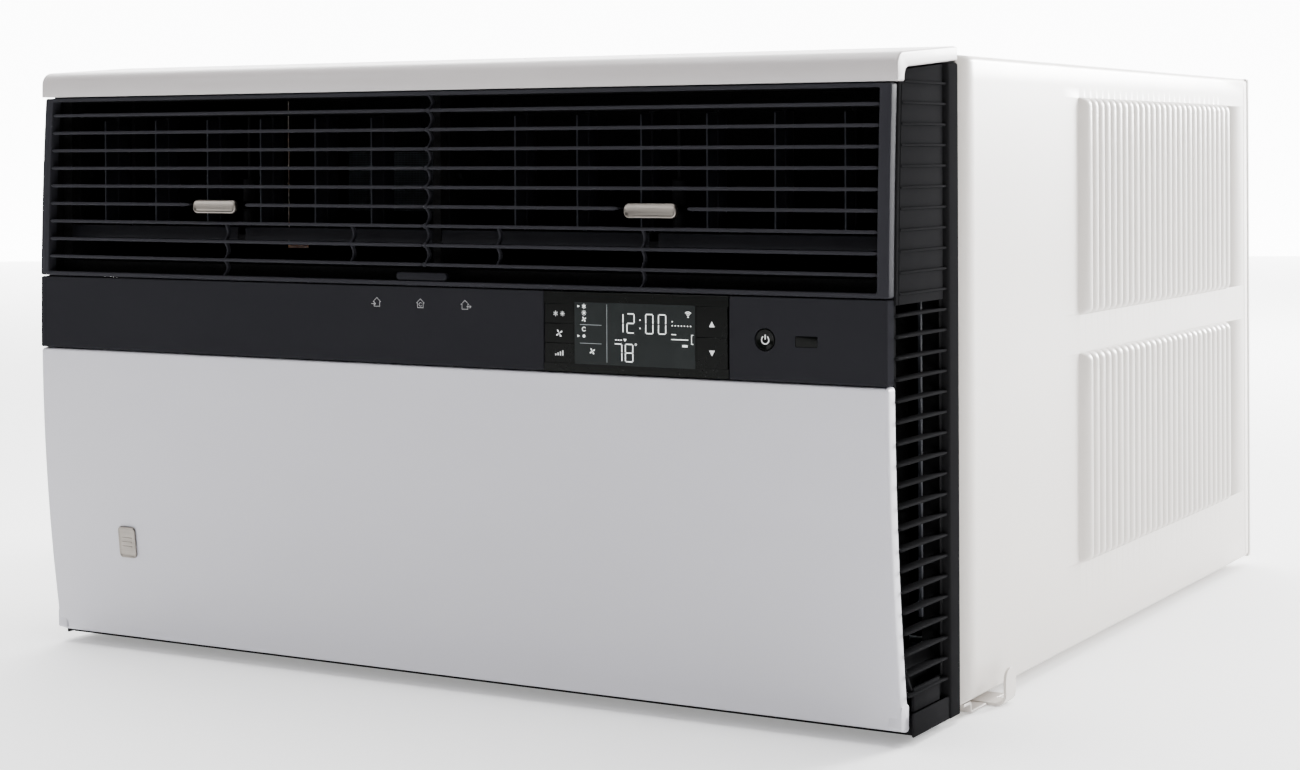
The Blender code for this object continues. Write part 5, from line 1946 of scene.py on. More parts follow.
    def signs(self) -> Shape:
        """Small signs: snowflake, sun, fan, loop, dot, waves, week dots and pointers.

        Returns:
            The shape.
        """
        pen = self.pen
        parts = [self.star(pen, 0.1225, 0.2525, 1.5 * MM, 3), self.sun(pen, 0.1225, 0.2485)]
        parts += [self.blades(pen, 0.1225, 0.2445, 1.5 * MM), self.blades(pen, 0.1284, 0.225, 1.8 * MM)]
        parts.append(pen.arc(0.1225, 0.2385, 1.2 * MM, 30, 330, 0.35 * MM))
        parts.append(pen.dot(0.1225, 0.2342, 0.9 * MM))
        parts += [pen.polygon([(0.1178, z - 0.0007), (0.1196, z), (0.1178, z + 0.0007)])
                  for z in (0.2525, 0.2342)]
        parts.append(pen.polygon([(0.1516, 0.2318), (0.1527, 0.2334), (0.1505, 0.2334)]))
        parts += [pen.arc(0.1955, 0.2482, radius * MM, 48, 132, 0.38 * MM) for radius in (1.1, 2.0, 2.9)]
        parts.append(pen.dot(0.1955, 0.248, 0.45 * MM))
        parts += [pen.dot(0.1846 + 0.0021 * step, 0.2425, 0.38 * MM) for step in range(7)]
        parts.append(pen.dot(0.1846, 0.2449, 0.38 * MM))
        parts += [pen.stroke([(0.184, z), (end, z)], 0.5 * MM)
                  for z, end in ((0.2372, 0.1872), (0.2342, 0.1955))]
        parts.append(pen.stroke([(0.1915, 0.2305), (0.195, 0.2305)], 1.3 * MM))
        parts.append(pen.stroke([(0.199, 0.2372), (0.1978, 0.2372), (0.1978, 0.2318), (0.199, 0.2318)],
                                0.35 * MM))
        parts += [pen.stroke([(0.1448 + step * 0.0018, 0.2326), (0.1458 + step * 0.0018, 0.2326)], 0.6 * MM)
                  for step in range(3)]
        return joined(parts)

    def rules(self) -> Shape:
        """Thin rules that divide the screen.

        Returns:
            The shape.
        """
        pen = self.pen
        lines = [[(0.1388, 0.2185), (0.1388, 0.254)], [(0.1196, 0.2412), (0.135, 0.2412)],
                 [(0.1196, 0.2298), (0.135, 0.2298)]]
        return joined([pen.stroke(line, 0.22 * MM) for line in lines])

    @staticmethod
    def star(pen: Pen, x: float, z: float, reach: float, bars: int) -> Shape:
        """Crossed bars through one middle."""
        turns = np.radians(90.0 + 180.0 / bars * np.arange(bars))
        return joined([pen.stroke([(x - reach * math.cos(a), z - reach * math.sin(a)),
                                   (x + reach * math.cos(a), z + reach * math.sin(a))], 0.35 * MM)
                       for a in turns])

    @staticmethod
    def sun(pen: Pen, x: float, z: float) -> Shape:
        """Disc with eight short rays.

        Args:
            pen: what draws it.
            x: place across.
            z: its height.

        Returns:
            The shape.
        """
        turns = np.radians(45.0 * np.arange(8))
        rays = [pen.stroke([(x + 1.1 * MM * math.cos(a), z + 1.1 * MM * math.sin(a)),
                            (x + 1.6 * MM * math.cos(a), z + 1.6 * MM * math.sin(a))], 0.3 * MM)
                for a in turns]
        return joined([pen.dot(x, z, 0.75 * MM)] + rays)

    @staticmethod
    def blades(pen: Pen, x: float, z: float, reach: float) -> Shape:
        """Four fan blades round a hub, each a leaf leaning to one side.

        Args:
            pen: what draws it.
            x: place across.
            z: its height.
            reach: length of a blade.

        Returns:
            The shape.
        """
        leaf = [(0.12, 0.1), (0.42, 0.1), (0.92, 0.3), (1.0, 0.62), (0.72, 0.72), (0.35, 0.45)]
        parts = []
        for turn in np.radians(90.0 * np.arange(4)):
            across, up = math.cos(turn), math.sin(turn)
            parts.append(pen.polygon([(x + reach * (a * across - b * up), z + reach * (a * up + b * across))
                                      for a, b in leaf]))
        return joined(parts + [pen.dot(x, z, reach * 0.16)])

    def keys(self) -> None:
        """Five keys, each a thin gloss plate with its sign."""
        pen = self.pen
        for name in ("key_mode", "key_fan", "key_speed", "key_up", "key_down"):
            low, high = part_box(name)
            plate = slab(Outline.rounded((low.x, low.z), (high.x, high.z), 0.25 * MM, 1, 2), self.face,
                         high.y,
                         Axis.Y, 0.06 * MM, 1)
            Piece(name + "_cap", plate, GLASS, name).make()
            x, _, z = middle(name)
            marks = {"key_mode": self.mode_sign, "key_fan": self.fan_sign, "key_speed": self.speed_sign,
                     "key_up": self.up_sign, "key_down": self.down_sign}
            Piece(name + "_sign", marks[name](pen, x, z), PRINT_WHITE, body=BODY_OF[name]).make()

    def mode_sign(self, pen: Pen, x: float, z: float) -> Shape:
        """Snowflake beside a sun."""
        return self.star(pen, x - 2.6 * MM, z, 1.7 * MM, 3) + self.sun(pen, x + 2.4 * MM, z)

    def fan_sign(self, pen: Pen, x: float, z: float) -> Shape:
        """Four blades."""
        return self.blades(pen, x, z, 2.2 * MM)

    @staticmethod
    def speed_sign(pen: Pen, x: float, z: float) -> Shape:
        """Four bars of growing height."""
        return joined([pen.stroke([(x + (k - 1.5) * 1.7 * MM, z - 1.5 * MM),
                                   (x + (k - 1.5) * 1.7 * MM, z - 0.5 * MM + 0.7 * k * MM)], 0.8 * MM)
                       for k in range(4)])

    @staticmethod
    def up_sign(pen: Pen, x: float, z: float) -> Shape:
        """Triangle that points up."""
        return pen.polygon([(x - 1.9 * MM, z - 2.9 * MM), (x + 1.9 * MM, z - 2.9 * MM), (x, z + 0.5 * MM)])

    @staticmethod
    def down_sign(pen: Pen, x: float, z: float) -> Shape:
        """Triangle that points down."""
        return pen.polygon([(x, z - 1.7 * MM), (x + 1.9 * MM, z + 1.7 * MM), (x - 1.9 * MM, z + 1.7 * MM)])

    def power_button(self) -> None:
        """Round button with a bevelled rim, and the power sign on it."""
        low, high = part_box("power_button")
        x, _, z = middle("power_button")
        front, radius = low.y + 0.35 * MM, (high.x - low.x) / 2
        profile = [(0.0, high.y), (radius, high.y), (radius, front + 0.5 * MM),
                   (radius - 0.4 * MM, front + 0.05 * MM),
                   (radius - 1.0 * MM, front), (radius - 1.5 * MM, front + 0.25 * MM),
                   (0.0, front + 0.3 * MM)]
        Piece("power_cap", turned(profile, (x, 0.0, z), Axis.Y, 48), GLASS, "power_button").make()
        pen = Pen(plane(front + 0.28 * MM), 0.12 * MM, 0.06 * MM)
        sign = pen.arc(x, z - 0.1 * MM, 2.4 * MM, -235, 55, 0.65 * MM)
        sign = sign + pen.stroke([(x, z + 0.1 * MM), (x, z + 2.9 * MM)], 0.65 * MM)
        Piece("power_sign", sign, PRINT_WHITE, body="power_button").make()

    def houses(self) -> Shape:
        """Three line-drawn houses: air out, air round, and air in.

        Returns:
            The shape.
        """
        pen = Pen(FACE.y, 0.1 * MM, 0.03 * MM)
        width = 0.32 * MM
        parts = []
        for number, x in enumerate((-0.034, 0.0002, 0.0345)):
            z = 0.2512
            outline = [(x - 2.2, z), (x - 3.0, z), (x, z + 2.6), (x + 3.0, z), (x + 2.2, z),
                       (x + 2.2, z - 3.0),
                       (x - 2.2, z - 3.0)]
            body = [(x + (u - x) * MM, z + (v - z) * MM) for u, v in outline]
            parts.append(pen.stroke(body, width, closed=True))
            if number == 1:
                parts.append(pen.arc(x, z - 0.9 * MM, 1.1 * MM, 40, 330, width))
                continue
            shift = -4.4 * MM if number == 0 else 1.2 * MM
            level = z - 1.4 * MM
            start, end = x + shift, x + shift + 3.4 * MM
            parts.append(pen.stroke([(start, level), (end, level)], width))
            parts.append(pen.stroke([(end - 1.0 * MM, level + 0.9 * MM), (end, level),
                                     (end - 1.0 * MM, level - 0.9 * MM)],
                                    width))
        return joined(parts)


# ---- intake panel
@dataclass
class IntakePanel:
    """Drop-down panel with its badge and feet, the filter behind it and the hinge pins.

    Attributes:
        half, low, high: reach of the panel.
        depth: how far its rim reaches back.
        hinge_y, hinge_z: the hinge axis.
        sweep_y: rearmost reach of the shell, so that it clears the ring as it swings.
    """

    half: float = 0.3257
    low: float = 0.0085
    high: float = 0.2109
    depth: float = 8.5 * MM
    hinge_y: float = -0.3462
    hinge_z: float = 0.0178
    sweep_y: float = -0.3413

    def build(self) -> None:
        """Make the panel, badge, filter and pins."""
        outline = Outline.rounded((-self.half, self.low), (self.half, self.high), 2.4 * MM, 26, 6)
        shell = tray(outline, self.surface, self.depth, 2.2 * MM, 0.8 * MM)
        shell.points[:, 1] = np.minimum(shell.points[:, 1], self.sweep_y)
        Piece("intake_panel_shell", shell, PANEL_GREY, "lower_panel", wall=2.4 * MM).make()
        Piece("intake_panel_feet", self.feet(), PANEL_GREY, body="lower_panel", bevel=0.3 * MM).make()
        Piece("intake_panel_ribs", self.ribs(), PANEL_GREY, body="lower_panel").make()
        self.badge()
        self.filter()
        for label in ("left", "right"):
            low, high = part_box("hinge_pin_" + label)
            radius, reach = (high.z - low.z) / 2, (high.x - low.x) / 2
            profile = [(0.0, reach), (radius * 0.75, reach), (radius, reach - 0.4 * MM),
                       (radius, 0.4 * MM - reach),
                       (radius * 0.75, -reach), (0.0, -reach)]
            pin = turned(profile, middle("hinge_pin_" + label), Axis.X, 20)
            Piece("hinge_pin_turned_" + label, pin, ZINC, "hinge_pin_" + label).make()

    def surface(self, z: np.ndarray) -> np.ndarray:
        """The front's curve, rolled back near the bottom by a quarter circle of 6 mm.

        Args:
            z: heights.

        Returns:
            The depth at each height.
        """
        roll = 6.0 * MM
        short = np.clip((self.low + roll - np.asarray(z, float)) / roll, 0.0, 0.995)
        return FACE.y(z) + roll * (1.0 - np.sqrt(1.0 - short ** 2))

    def feet(self) -> Shape:
        """Rounded foot at each lower corner, square to the rim, which holds the hinge bore."""
        foot = slab(Outline.rounded((self.hinge_y - 5.6 * MM, self.hinge_z - 7.2 * MM),
                                    (self.hinge_y + 5.6 * MM, self.hinge_z + 6.8 * MM), 2.2 * MM, 1, 6),
                    0.3182, 0.3262, Axis.X, 0.4 * MM, 2)
        return foot + foot.mirrored()

    def ribs(self) -> Shape:
        """Stiffening ribs inside the panel: four upright and two level.

        Returns:
            The shape.
        """
        heights = np.linspace(0.02, 0.205, 12)
        edge = [(float(FACE.y(z)) + 2.0 * MM, z) for z in heights]
        outline = Outline.of([(y + 3.0 * MM, z) for y, z in edge] + edge[::-1])
        upright = slab(outline, -0.7 * MM, 0.7 * MM, Axis.X, 0.2 * MM, 1)
        spots = np.array([(x, 0.0, 0.0) for x in (-0.24, -0.08, 0.08, 0.24)])
        level = [block((-0.31, float(FACE.y(z)) + 2.0 * MM, z - 0.7 * MM),
                       (0.31, float(FACE.y(z)) + 5.0 * MM, z + 0.7 * MM),
                       0.2 * MM) for z in (0.08, 0.15)]
        return joined([row(upright, spots)] + level)

    def badge(self) -> None:
        """Blank nickel badge with a raised rim and three plain bars, leaned on the panel."""
        low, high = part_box("badge")
        x, _, z = middle("badge")
        half_x, half_z = (high.x - low.x) / 2, 11.0 * MM
        slope = math.degrees(math.atan((FACE.bulge_z - z) / FACE.lower_radius))
        outline = Outline.rounded((x - half_x, -half_z), (x + half_x, half_z), 3.0 * MM, 1, 8)
        steps = [(0.0, -0.3), (0.0, -1.25), (-0.3, -1.55), (-0.9, -1.6), (-1.15, -1.35), (-1.5, -1.2),
                 (-3.0, -1.2)]
        lean = Matrix.Translation((0.0, float(FACE.y(z)), z)) @ Matrix.Rotation(math.radians(slope), 4, "X")
        plate = loft(np.array([lifted(outline.grown(a * MM), b * MM, Axis.Y) for a, b in steps]))
        Piece("badge_plate", plate.through(lean), NICKEL, "badge", crease=50.0).make()
        bars = joined([block((x - reach, -1.5 * MM, level - 0.45 * MM),
                             (x + reach, -1.1 * MM, level + 0.45 * MM), 0.2 * MM)
                       for reach, level in ((4.2 * MM, 3.0 * MM), (4.2 * MM, 0.0), (4.2 * MM, -3.0 * MM))])
        Piece("badge_bars", bars.through(lean), NICKEL, body="lower_panel").make()

    def filter(self) -> None:
        """Filter: a frame with bars, the net stretched in its panes and a pull tab."""
        low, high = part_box("air_filter")
        outer = Outline.rounded((low.x, low.z), (high.x, high.z), 3.0 * MM)
        inner = Outline.rounded((low.x + 7 * MM, low.z + 7 * MM), (high.x - 7 * MM, high.z - 7 * MM),
                                2.0 * MM)
        parts = [framed(outer, inner, plane(low.y), high.y - low.y, 0.8 * MM, 0.5 * MM)]
        bars = np.linspace(low.x, high.x, 7)[1:-1]
        parts += [block((x - 1.5 * MM, low.y + 0.5 * MM, low.z + 5 * MM),
                        (x + 1.5 * MM, high.y - 0.5 * MM, high.z - 5 * MM))
                  for x in bars]
        middle = (low.z + high.z) / 2
        parts.append(block((low.x + 5 * MM, low.y + 0.5 * MM, middle - 1.5 * MM),
                           (high.x - 5 * MM, high.y - 0.5 * MM, middle + 1.5 * MM)))
        Piece("filter_frame", joined(parts), CHARCOAL, "air_filter").make()
        net = block((low.x + 5 * MM, low.y + 2.0 * MM, low.z + 5 * MM),
                    (high.x - 5 * MM, low.y + 2.6 * MM, high.z - 5 * MM),
                    0.2 * MM)
        Piece("filter_net", net, FILTER_NET, body="air_filter").make()


# ---- inside of the chassis
@dataclass
class Coil:
    """Finned coil: pleated fin pack, end plates, and copper hairpins that pass through them."""

    node: str
    rows: int
    depth_rows: int
    shade_capped: bool = False
    fins: int = 240

    def build(self) -> None:
        """Make the pack, the plates and the tubes."""
        low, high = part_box(self.node)
        plate, ease = 2.5 * MM, 3.0 * MM
        fin = block((low.x + plate, low.y + ease, low.z + ease),
                    (low.x + plate + 0.5 * MM, high.y - ease, high.z - ease),
                    0.15 * MM)
        reach = np.linspace(0.0, high.x - low.x - 2 * plate - 0.5 * MM, self.fins)
        steps = np.stack((reach, np.zeros(self.fins), np.zeros(self.fins)), 1)
        Piece(self.node + "_fins", row(fin, steps), ALUMINIUM, self.node).make()
        # Near-black block inside the fin pack: painted shade seen between the fins.
        shade_fill = block((low.x + plate, low.y + 9 * MM, low.z + 4 * MM),
                     (high.x - plate, high.y - 9 * MM, high.z - 4 * MM), 0.2 * MM)
        Piece(self.node + "_core", shade_fill, SHADOW_BLACK).make()
        ends = [block((x, low.y, low.z), (x + 1.2 * MM, high.y, high.z), 0.4 * MM)
                for x in (low.x + 1.3 * MM, high.x - 2.5 * MM)]
        Piece(self.node + "_plates", joined(ends), ZINC).make()
        Piece(self.node + "_tubes", self.tubes(low, high), COPPER).make()
        # Near-black foam caps over the hairpin bends: painted shade where the side grille looks in on the
        # coil.
        if self.shade_capped:
            ends = [block((x, low.y + MM, low.z + MM), (x + 3 * MM, high.y - MM, high.z - MM), MM)
                    for x in (low.x - 11 * MM, high.x + 8 * MM)]
            Piece(self.node + "_end_foam", joined(ends), FOAM).make()

    def tubes(self, low: Vector, high: Vector) -> Shape:
        """Hairpin bends outside both plates: half circles between neighbouring rows.

        Args:
            low: lowest corner of the node's box.
            high: highest corner of the node's box.

        Returns:
            The shape.
        """
        levels = np.linspace(low.z + 12 * MM, high.z - 12 * MM, self.rows)
        pitch = levels[1] - levels[0]
        lanes = np.linspace(low.y + 12 * MM, high.y - 12 * MM, self.depth_rows)
        swing = np.linspace(0.0, math.pi, 9)
        bulge = min(pitch / 2, 8 * MM)
        parts = []
        for lane in lanes:
            for number, z in enumerate(levels[:-1]):
                side = 1 if number % 2 else -1
                x = high.x - 1.5 * MM if side > 0 else low.x + 1.5 * MM
                path = np.stack((x + side * bulge * np.sin(swing), np.full(9, lane),
                                 z + pitch / 2 * (1 - np.cos(swing))), 1)
                parts.append(swept(path, 3.4 * MM, 10))
        return joined(parts)


@dataclass
class AirMovers:
    """Motor, shaft, blower wheel and condenser fan on one axis."""

    x: float = 0.04
    z: float = 0.145

    def build(self) -> None:
        """Make the turning pieces and the motor."""
        low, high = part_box("blower_wheel")
        Piece("blower_wheel_blades", self.wheel(low, high), GRILLE_BLACK, "blower_wheel").make()
        low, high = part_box("condenser_fan")
        Piece("condenser_fan_blades", self.fan(low, high), GRILLE_BLACK, "condenser_fan").make()
        softened("fan_shaft", ZINC, 0.6 * MM)
        Piece("fan_motor_case", self.motor(), ENAMEL, "fan_motor").make()
        softened("motor_bracket", ZINC)

    def wheel(self, low: Vector, high: Vector) -> Shape:
        """Forward-curved wheel: forty-four arched blades between a rim ring and the back disc.

        Args:
            low: lowest corner of the node's box.
            high: highest corner of the node's box.

        Returns:
            The shape.
        """
        count, outer, inner = 44, 96 * MM, 80 * MM
        share = np.linspace(0.0, 1.0, 6)
        lean = np.radians(2.0 + 10.0 * share ** 2)
        radius = inner + (outer - 1.0 * MM - inner) * share
        line = np.stack((radius * np.cos(lean), radius * np.sin(lean)), 1)
        width = 0.5 * MM
        side = np.gradient(line, axis=0)
        side = np.stack((-side[:, 1], side[:, 0]), 1) / np.linalg.norm(side, axis=1)[:, None] * width
        blade = slab(Outline.of(np.vstack((line - side, (line + side)[::-1]))), low.y + 1 * MM,
                     high.y - 2 * MM, Axis.Y)
        blades = spun(blade, (self.x, 0, self.z), count)
        rim = [(inner, low.y), (outer, low.y), (outer, low.y + 3 * MM), (outer - 4 * MM, low.y + 3 * MM),
               (inner, low.y + 1.5 * MM)]
        disc = [(6.5 * MM, high.y - 3 * MM), (outer - 1 * MM, high.y - 3 * MM), (outer, high.y - 1.5 * MM),
                (outer - 1 * MM, high.y), (22 * MM, high.y), (18 * MM, high.y + 0.0), (6.5 * MM, high.y)]
        centre = (self.x, 0.0, self.z)
        hub = [(6.5 * MM, high.y - 16 * MM), (13 * MM, high.y - 16 * MM), (14 * MM, high.y - 2 * MM),
               (6.5 * MM, high.y - 2 * MM)]
        return joined([blades, ring_of(rim, centre, Axis.Y, 64), ring_of(disc, centre, Axis.Y, 64),
                       ring_of(hub, centre, Axis.Y, 32)])

    def fan(self, low: Vector, high: Vector) -> Shape:
        """Axial fan: five twisted blades, a domed hub and the slinger ring.

        A blade's chord swings out with the radius; its pitch falls from 40 to 24 degrees.

        Args:
            low: lowest corner of the node's box; not used.
            high: highest corner of the node's box; not used.

        Returns:
            The shape.
        """
        radius = np.linspace(29 * MM, 122.6 * MM, 12)
        share = (radius - radius[0]) / (radius[-1] - radius[0])
        chord = (46 + 26 * np.sin(math.pi * np.clip(share * 0.8 + 0.1, 0, 1))) * MM
        pitch = np.radians(40.0 - 16.0 * share)
        sweep = np.radians(14.0 * share)
        across = np.linspace(-0.5, 0.5, 9)
        camber = (0.25 - across ** 2) * 9 * MM
        arcs = across[None] * chord[:, None] * np.cos(pitch)[:, None] / radius[:, None] + sweep[:, None]
        depth = across[None] * chord[:, None] * np.sin(pitch)[:, None] * 0.62 + camber[None]
        faces = [np.stack((radius[:, None] * np.sin(arcs), depth + offset, radius[:, None] * np.cos(arcs)),
                          -1)
                 for offset in (-0.9 * MM, 0.9 * MM)]
        blade = loft(np.concatenate((faces[0], faces[1][:, ::-1]), 1))
        centre = (self.x, 0.17, self.z)
        blades = spun(blade, centre, 5)
        hub = mm((6.5, -20), (30, -20), (32, -17), (32, 12), (28, 18), (12, 20), (6.5, 20))
        ring = mm((121.6, -6), (124.4, -6), (124.4, 6), (121.6, 6))
        return joined([blades, ring_of(hub, centre, Axis.Y, 48), ring_of(ring, centre, Axis.Y, 72)])

    def motor(self) -> Shape:
        """Motor case: a drum with a pressed belt, two domed ends and vent pads.

        Returns:
            The shape.
        """
        profile = mm((6.5, 55), (18, 55), (19.5, 53.5), (20, 48), (30, 46.5), (46, 42.5), (51.5, 39.5),
                     (53.5, 36),
                     (54, 12), (55, 11), (55, 0))
        profile += [(radius, -height) for radius, height in profile[:-1][::-1]]
        return ring_of(profile, (self.x, -0.01, self.z), Axis.Y, 56)


@dataclass
class Machinery:
    """Base pan, walls, scroll, refrigeration circuit, control box and the cord gland."""

    def build(self) -> None:
        """Make or finish each piece."""
        softened("base_pan", ZINC, 0.6 * MM)
        softened("bulkhead", ZINC, 0.5 * MM)
        softened("condenser_shroud", ZINC, 0.5 * MM)
        # Painted shade: the scroll is near-black, darker than the scroll itself, so the inside reads shaded.
        softened("blower_scroll", SHADOW_BLACK, 0.4 * MM)
        softened("blower_inlet_plate", ZINC, 0.4 * MM)
        # The duct's near-black foam is partly painted shade.
        softened("discharge_duct", FOAM, 0.8 * MM)
        # Painted shade: the damper door is near-black so the view through the duct stays dark.
        softened("damper_door", SHADOW_BLACK, 0.3 * MM)
        Piece("duct_hood", self.hood(), FOAM).make()
        # The hood and the lining are near-black foam, partly painted shade for the inside of the duct.
        Piece("bulkhead_lining", self.lining(), FOAM).make()
        low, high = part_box("damper_door")
        net = block((low.x - MM, -0.1016, low.z - MM), (high.x + MM, -0.101, high.z + MM), 0.2 * MM)
        Piece("damper_screen", net, FILTER_NET).make()
        softened("control_box", ZINC, 0.4 * MM)
        Piece("compressor_can", self.compressor(), ENAMEL, "compressor").make()
        Piece("compressor_cap", self.cap(), WHITE_PLASTIC).make()
        Piece("accumulator_can", self.accumulator(), ENAMEL, "accumulator").make()
        for node, path, radius in self.lines():
            Piece(node + "_bent", swept(path, radius, 18), COPPER, node).make()
        Piece("cord_gland_bush", self.gland(), RUBBER, "cord_gland").make()
        Piece("control_box_parts", self.box_parts(), WHITE_PLASTIC).make()

    def hood(self) -> Shape:
        """Foam-lined channel that leads from the blower's outlet over the coil to the duct.

        Returns:
            The shape.
        """
        half, thick, front, rear = 0.316, 3.0 * MM, -0.286, -0.104
        step, low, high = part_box("blower_inlet_plate")[0].y - 0.6 * MM, 0.269, 0.3945
        left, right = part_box("blower_scroll")[0].x - 2 * MM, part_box("blower_scroll")[1].x + 2 * MM
        spans = [((-half, front, high - thick), (half, rear, high)),
                 ((-half, front, low), (-half + thick, rear, high - thick)),
                 ((half - thick, front, low), (half, rear, high - thick)),
                 ((-half + thick, front, low), (half - thick, step, low + thick)),
                 ((-half + thick, step, low), (left, rear, low + thick)),
                 ((right, step, low), (half - thick, rear, low + thick))]
        return joined([block(start, end, 0.4 * MM) for start, end in spans])

    def lining(self) -> Shape:
        """Foam sheet on the room side of the bulkhead, open at the damper; it is near-black as painted shade
        for what is seen through the duct.

        Returns:
            The shape.
        """
        (x0, z0), (x1, z1), back = (-0.294, 0.05), (0.315, 0.3912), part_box("bulkhead")[0].y - 0.2 * MM
        low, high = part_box("damper_door")
        spans = [((x0, z0), (low.x - MM, z1)), ((high.x + MM, z0), (x1, z1)),
                 ((low.x - MM, z0), (high.x + MM, low.z - MM)),
                 ((low.x - MM, high.z + MM), (high.x + MM, z1)),
                 ((-0.313, 0.274), (x0 + MM, z1))]
        return joined([block((a, back - 2.8 * MM, b), (c, back, d), 0.3 * MM) for (a, b), (c, d) in spans])

    def compressor(self) -> Shape:
        """Welded can: a drum with a weld belt, domed top and foot ring."""
        profile = mm((0, 245), (14, 244.6), (32, 240.5), (50, 232), (61, 221), (67, 207), (69, 193),
                     (69.2, 172),
                     (70, 171), (70, 166), (69.2, 165), (69, 46), (66, 28), (60, 20), (50, 15.5), (30, 14),
                     (0, 13))
        return turned(profile, (*middle("compressor")[:2], 0.0), Axis.Z, 64)

    def cap(self) -> Shape:
        """Terminal cover on the compressor's front."""
        x, front = middle("compressor")[0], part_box("compressor")[0].y
        return block((x - 20 * MM, front - 6 * MM, 0.15), (x + 20 * MM, front + 12 * MM, 0.2), 4 * MM)

    def accumulator(self) -> Shape:
        """Small can with drawn-in ends."""
        profile = mm((0, 200), (8, 200), (9, 196), (16, 193), (23, 188), (27, 180), (28, 172), (28, 78),
                     (27, 68),
                     (22, 60), (10, 56), (0, 55))
        return turned(profile, (*middle("accumulator")[:2], 0.0), Axis.Z, 40)

    def lines(self) -> list[tuple[str, np.ndarray, float]]:
        """Name, path and radius of each copper line.

        Returns:
            Node, points and radius of each.
        """
        discharge = eased([(-0.215, 0.05, 0.2453), (-0.215, 0.05, 0.33), (-0.215, 0.15, 0.33),
                           (-0.317, 0.15, 0.33), (-0.317, 0.29, 0.33)], 0.018, 10)
        suction = eased([(-0.113, 0.08, 0.2003), (-0.113, 0.08, 0.3), (-0.113, -0.04, 0.3),
                         (-0.304, -0.04, 0.28), (-0.304, -0.295, 0.2)], 0.02, 10)
        turn = np.linspace(0.0, 3 * 2 * math.pi, 109)
        coil = np.stack((0.24 + 0.03 * np.cos(turn), 0.09 + 0.03 * np.sin(turn),
                         0.1 + 0.006 * turn / (2 * math.pi)), 1)
        rise = np.stack((np.full(8, 0.27), np.full(8, 0.09), np.linspace(0.123, 0.18, 8)), 1)
        return [("discharge_line", discharge, 4.8 * MM), ("suction_line", suction, 6.0 * MM),
                ("capillary_tube", np.vstack((coil, rise)), 1.4 * MM)]

    def gland(self) -> Shape:
        """Rubber bush: a flange and a barrel round a bore.

        Returns:
            The shape.
        """
        low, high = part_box("cord_gland")
        _, y, z = middle("cord_gland")
        profile = [(3.8, high.x), (4.5, high.x), (4.9, high.x - 0.4 * MM), (4.9, low.x + 1.2 * MM),
                   (6.2, low.x + 1.2 * MM),
                   (6.6, low.x + 0.8 * MM), (6.4, low.x + 0.2 * MM), (5.8, low.x), (4.2, low.x),
                   (3.8, low.x + 0.4 * MM)]
        return ring_of([(radius * MM, along) for radius, along in profile], (0.0, y, z), Axis.X, 40)

    def box_parts(self) -> Shape:
        """Board, capacitor and terminal block in the control box.

        Returns:
            The shape.
        """
        low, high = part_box("control_box")
        board = block((low.x + 8 * MM, low.y + 10 * MM, low.z + 15 * MM),
                      (low.x + 10 * MM, high.y - 30 * MM, high.z - 15 * MM))
        profile = mm((0, 30), (17, 30), (19, 28), (19, -28), (17, -30), (0, -30))
        can = turned(profile, (low.x + 55 * MM, high.y - 26 * MM, low.z + 50 * MM), Axis.Z, 32)
        terminals = block((low.x + 11 * MM, low.y + 30 * MM, low.z + 30 * MM),
                          (low.x + 30 * MM, low.y + 70 * MM, low.z + 45 * MM))
        return board + can + terminals


# ---- stage
@dataclass(frozen=True)
class SoftBox:
    """Square soft light: where it stands, what it is aimed at, its side and its power."""

    name: str
    place: tuple
    target: tuple
    size: float
    power: float

    def build(self) -> None:
        """Make the lamp and turn it to its target."""
        data = bpy.data.lights.new(self.name, "AREA")
        data.size = self.size
        data.energy = self.power
        lamp = bpy.data.objects.new(self.name, data)
        aim = (Vector(self.target) - Vector(self.place)).to_track_quat("-Z", "Y")
        lamp.matrix_world = Matrix.Translation(self.place) @ aim.to_matrix().to_4x4()
        bpy.context.scene.collection.objects.link(lamp)


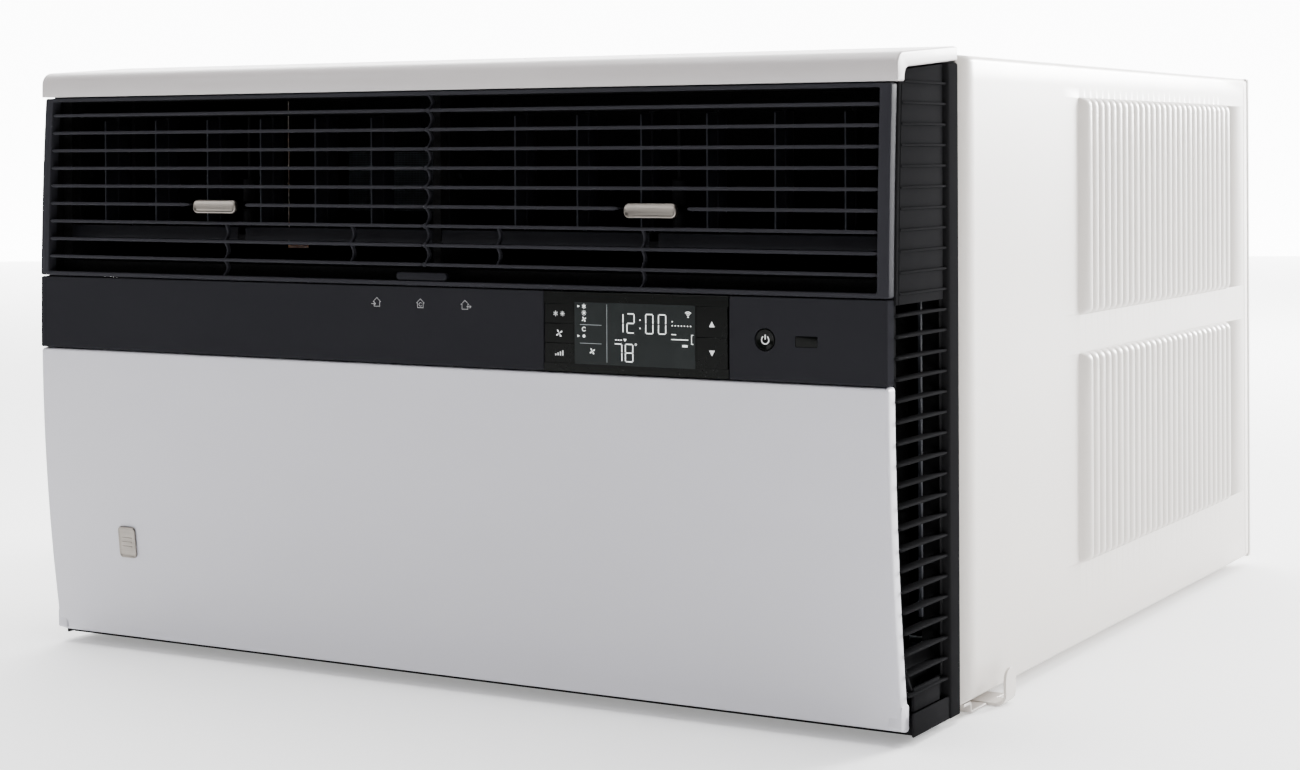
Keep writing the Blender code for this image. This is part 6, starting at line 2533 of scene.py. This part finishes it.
@dataclass
class Studio:
    """Camera, soft lights and a pale floor.

    Attributes:
        place: where the camera stands.
        yaw, pitch, roll: its turns in degrees from a level view along +Y.
        lens, shift: its lens in millimetres and its upward shift.
        far_wall: how far behind the unit the bright wall stands.
        lamps: the soft lights.
    """

    place: tuple = (0.8926, -1.6404, 0.3472)
    yaw: float = 29.61
    pitch: float = -0.06
    roll: float = -0.24
    lens: float = 66.95
    shift: float = -0.1773
    far_wall: float = 6.0
    lamps: tuple = (SoftBox("top_softbox", (0.1, 0.0, 2.9), (0.0, 0.0, 0.0), 3.0, 235.0),
                    SoftBox("side_softbox", (1.7, 3.2, 1.1), (0.3, 0.0, 0.2), 1.0, 450.0),
                    SoftBox("front_softbox", (-2.4, -3.0, 1.5), (0.0, -0.3, 0.2), 1.6, 30.0))

    def build(self) -> None:
        """Make the camera, the floor, the sky and the lights."""
        data = bpy.data.cameras.new("camera")
        data.lens = self.lens
        data.shift_y = self.shift
        camera = bpy.data.objects.new("camera", data)
        yaw, pitch, roll = (math.radians(turn) for turn in (self.yaw, 90 + self.pitch, self.roll))
        aim = Matrix.Rotation(yaw, 4, "Z") @ Matrix.Rotation(pitch, 4, "X")
        camera.matrix_world = Matrix.Translation(self.place) @ aim @ Matrix.Rotation(roll, 4, "Z")
        bpy.context.scene.collection.objects.link(camera)
        bpy.context.scene.camera = camera
        self.sheets()
        self.sky()
        for lamp in self.lamps:
            lamp.build()

    def backdrop(self, name: str, span: np.ndarray, glow: float) -> None:
        """Matt pale sheet through four corners, which may glow.

        Args:
            name: the sheet's name.
            span: its corners.
            glow: strength of its light.
        """
        mesh = bpy.data.meshes.new(name)
        mesh.from_pydata(span.tolist(), [], [(0, 1, 2, 3)])
        obj = bpy.data.objects.new(name, mesh)
        tree = Tree(name + "_paper")
        cloud = tree.noise(2.0, 3.0)
        shade = tree.mix(cloud, (0.9, 0.9, 0.9), (0.93, 0.93, 0.93))
        tree.set(Base_Color=shade, Roughness=cloud.between(0.85, 0.95), Specular_IOR_Level=0.0)
        far = tree.axis("Y").step(0.6, 3.2)
        tree.set(Emission_Color=tree.mix(far, (0.12, 0.12, 0.12), shade), Emission_Strength=glow)
        mesh.materials.append(tree.material)
        bpy.context.scene.collection.objects.link(obj)

    def sheets(self) -> None:
        """Wide floor just under the unit and a bright wall far behind it."""
        span = np.array(((-9, -9), (9, -9), (9, 9), (-9, 9)), float)
        self.backdrop("floor", lifted(span, -0.3 * MM, Axis.Z), 3.0)
        turn = np.array(Matrix.Rotation(math.radians(self.yaw), 3, "Z"))
        wall = lifted(np.array(((-8, -0.1), (8, -0.1), (8, 7), (-8, 7)), float), self.far_wall, Axis.Y)
        self.backdrop("wall", wall @ turn.T, 10.0)

    def sky(self) -> None:
        """Even dim surroundings."""
        world = bpy.data.worlds.new("studio")
        world.use_nodes = True
        backdrop = world.node_tree.nodes["Background"]
        backdrop.inputs["Color"].default_value = (1.0, 1.0, 1.0, 1.0)
        backdrop.inputs["Strength"].default_value = 0.15
        bpy.context.scene.world = world


def main() -> None:
    """Build the unit's sub-assemblies in order."""
    logging.basicConfig(level=logging.INFO, format="%(message)s")
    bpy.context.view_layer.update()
    Studio().build()
    Sleeve().build()
    FrontFrame().build()
    Grille().build()
    LouverBanks().build()
    ControlBand().build()
    IntakePanel().build()
    Coil("evaporator_coil", 11, 2, shade_capped=True).build()
    Coil("condenser_coil", 17, 3).build()
    AirMovers().build()
    Machinery().build()
    bpy.context.view_layer.update()


if __name__ == "__main__":
    main()
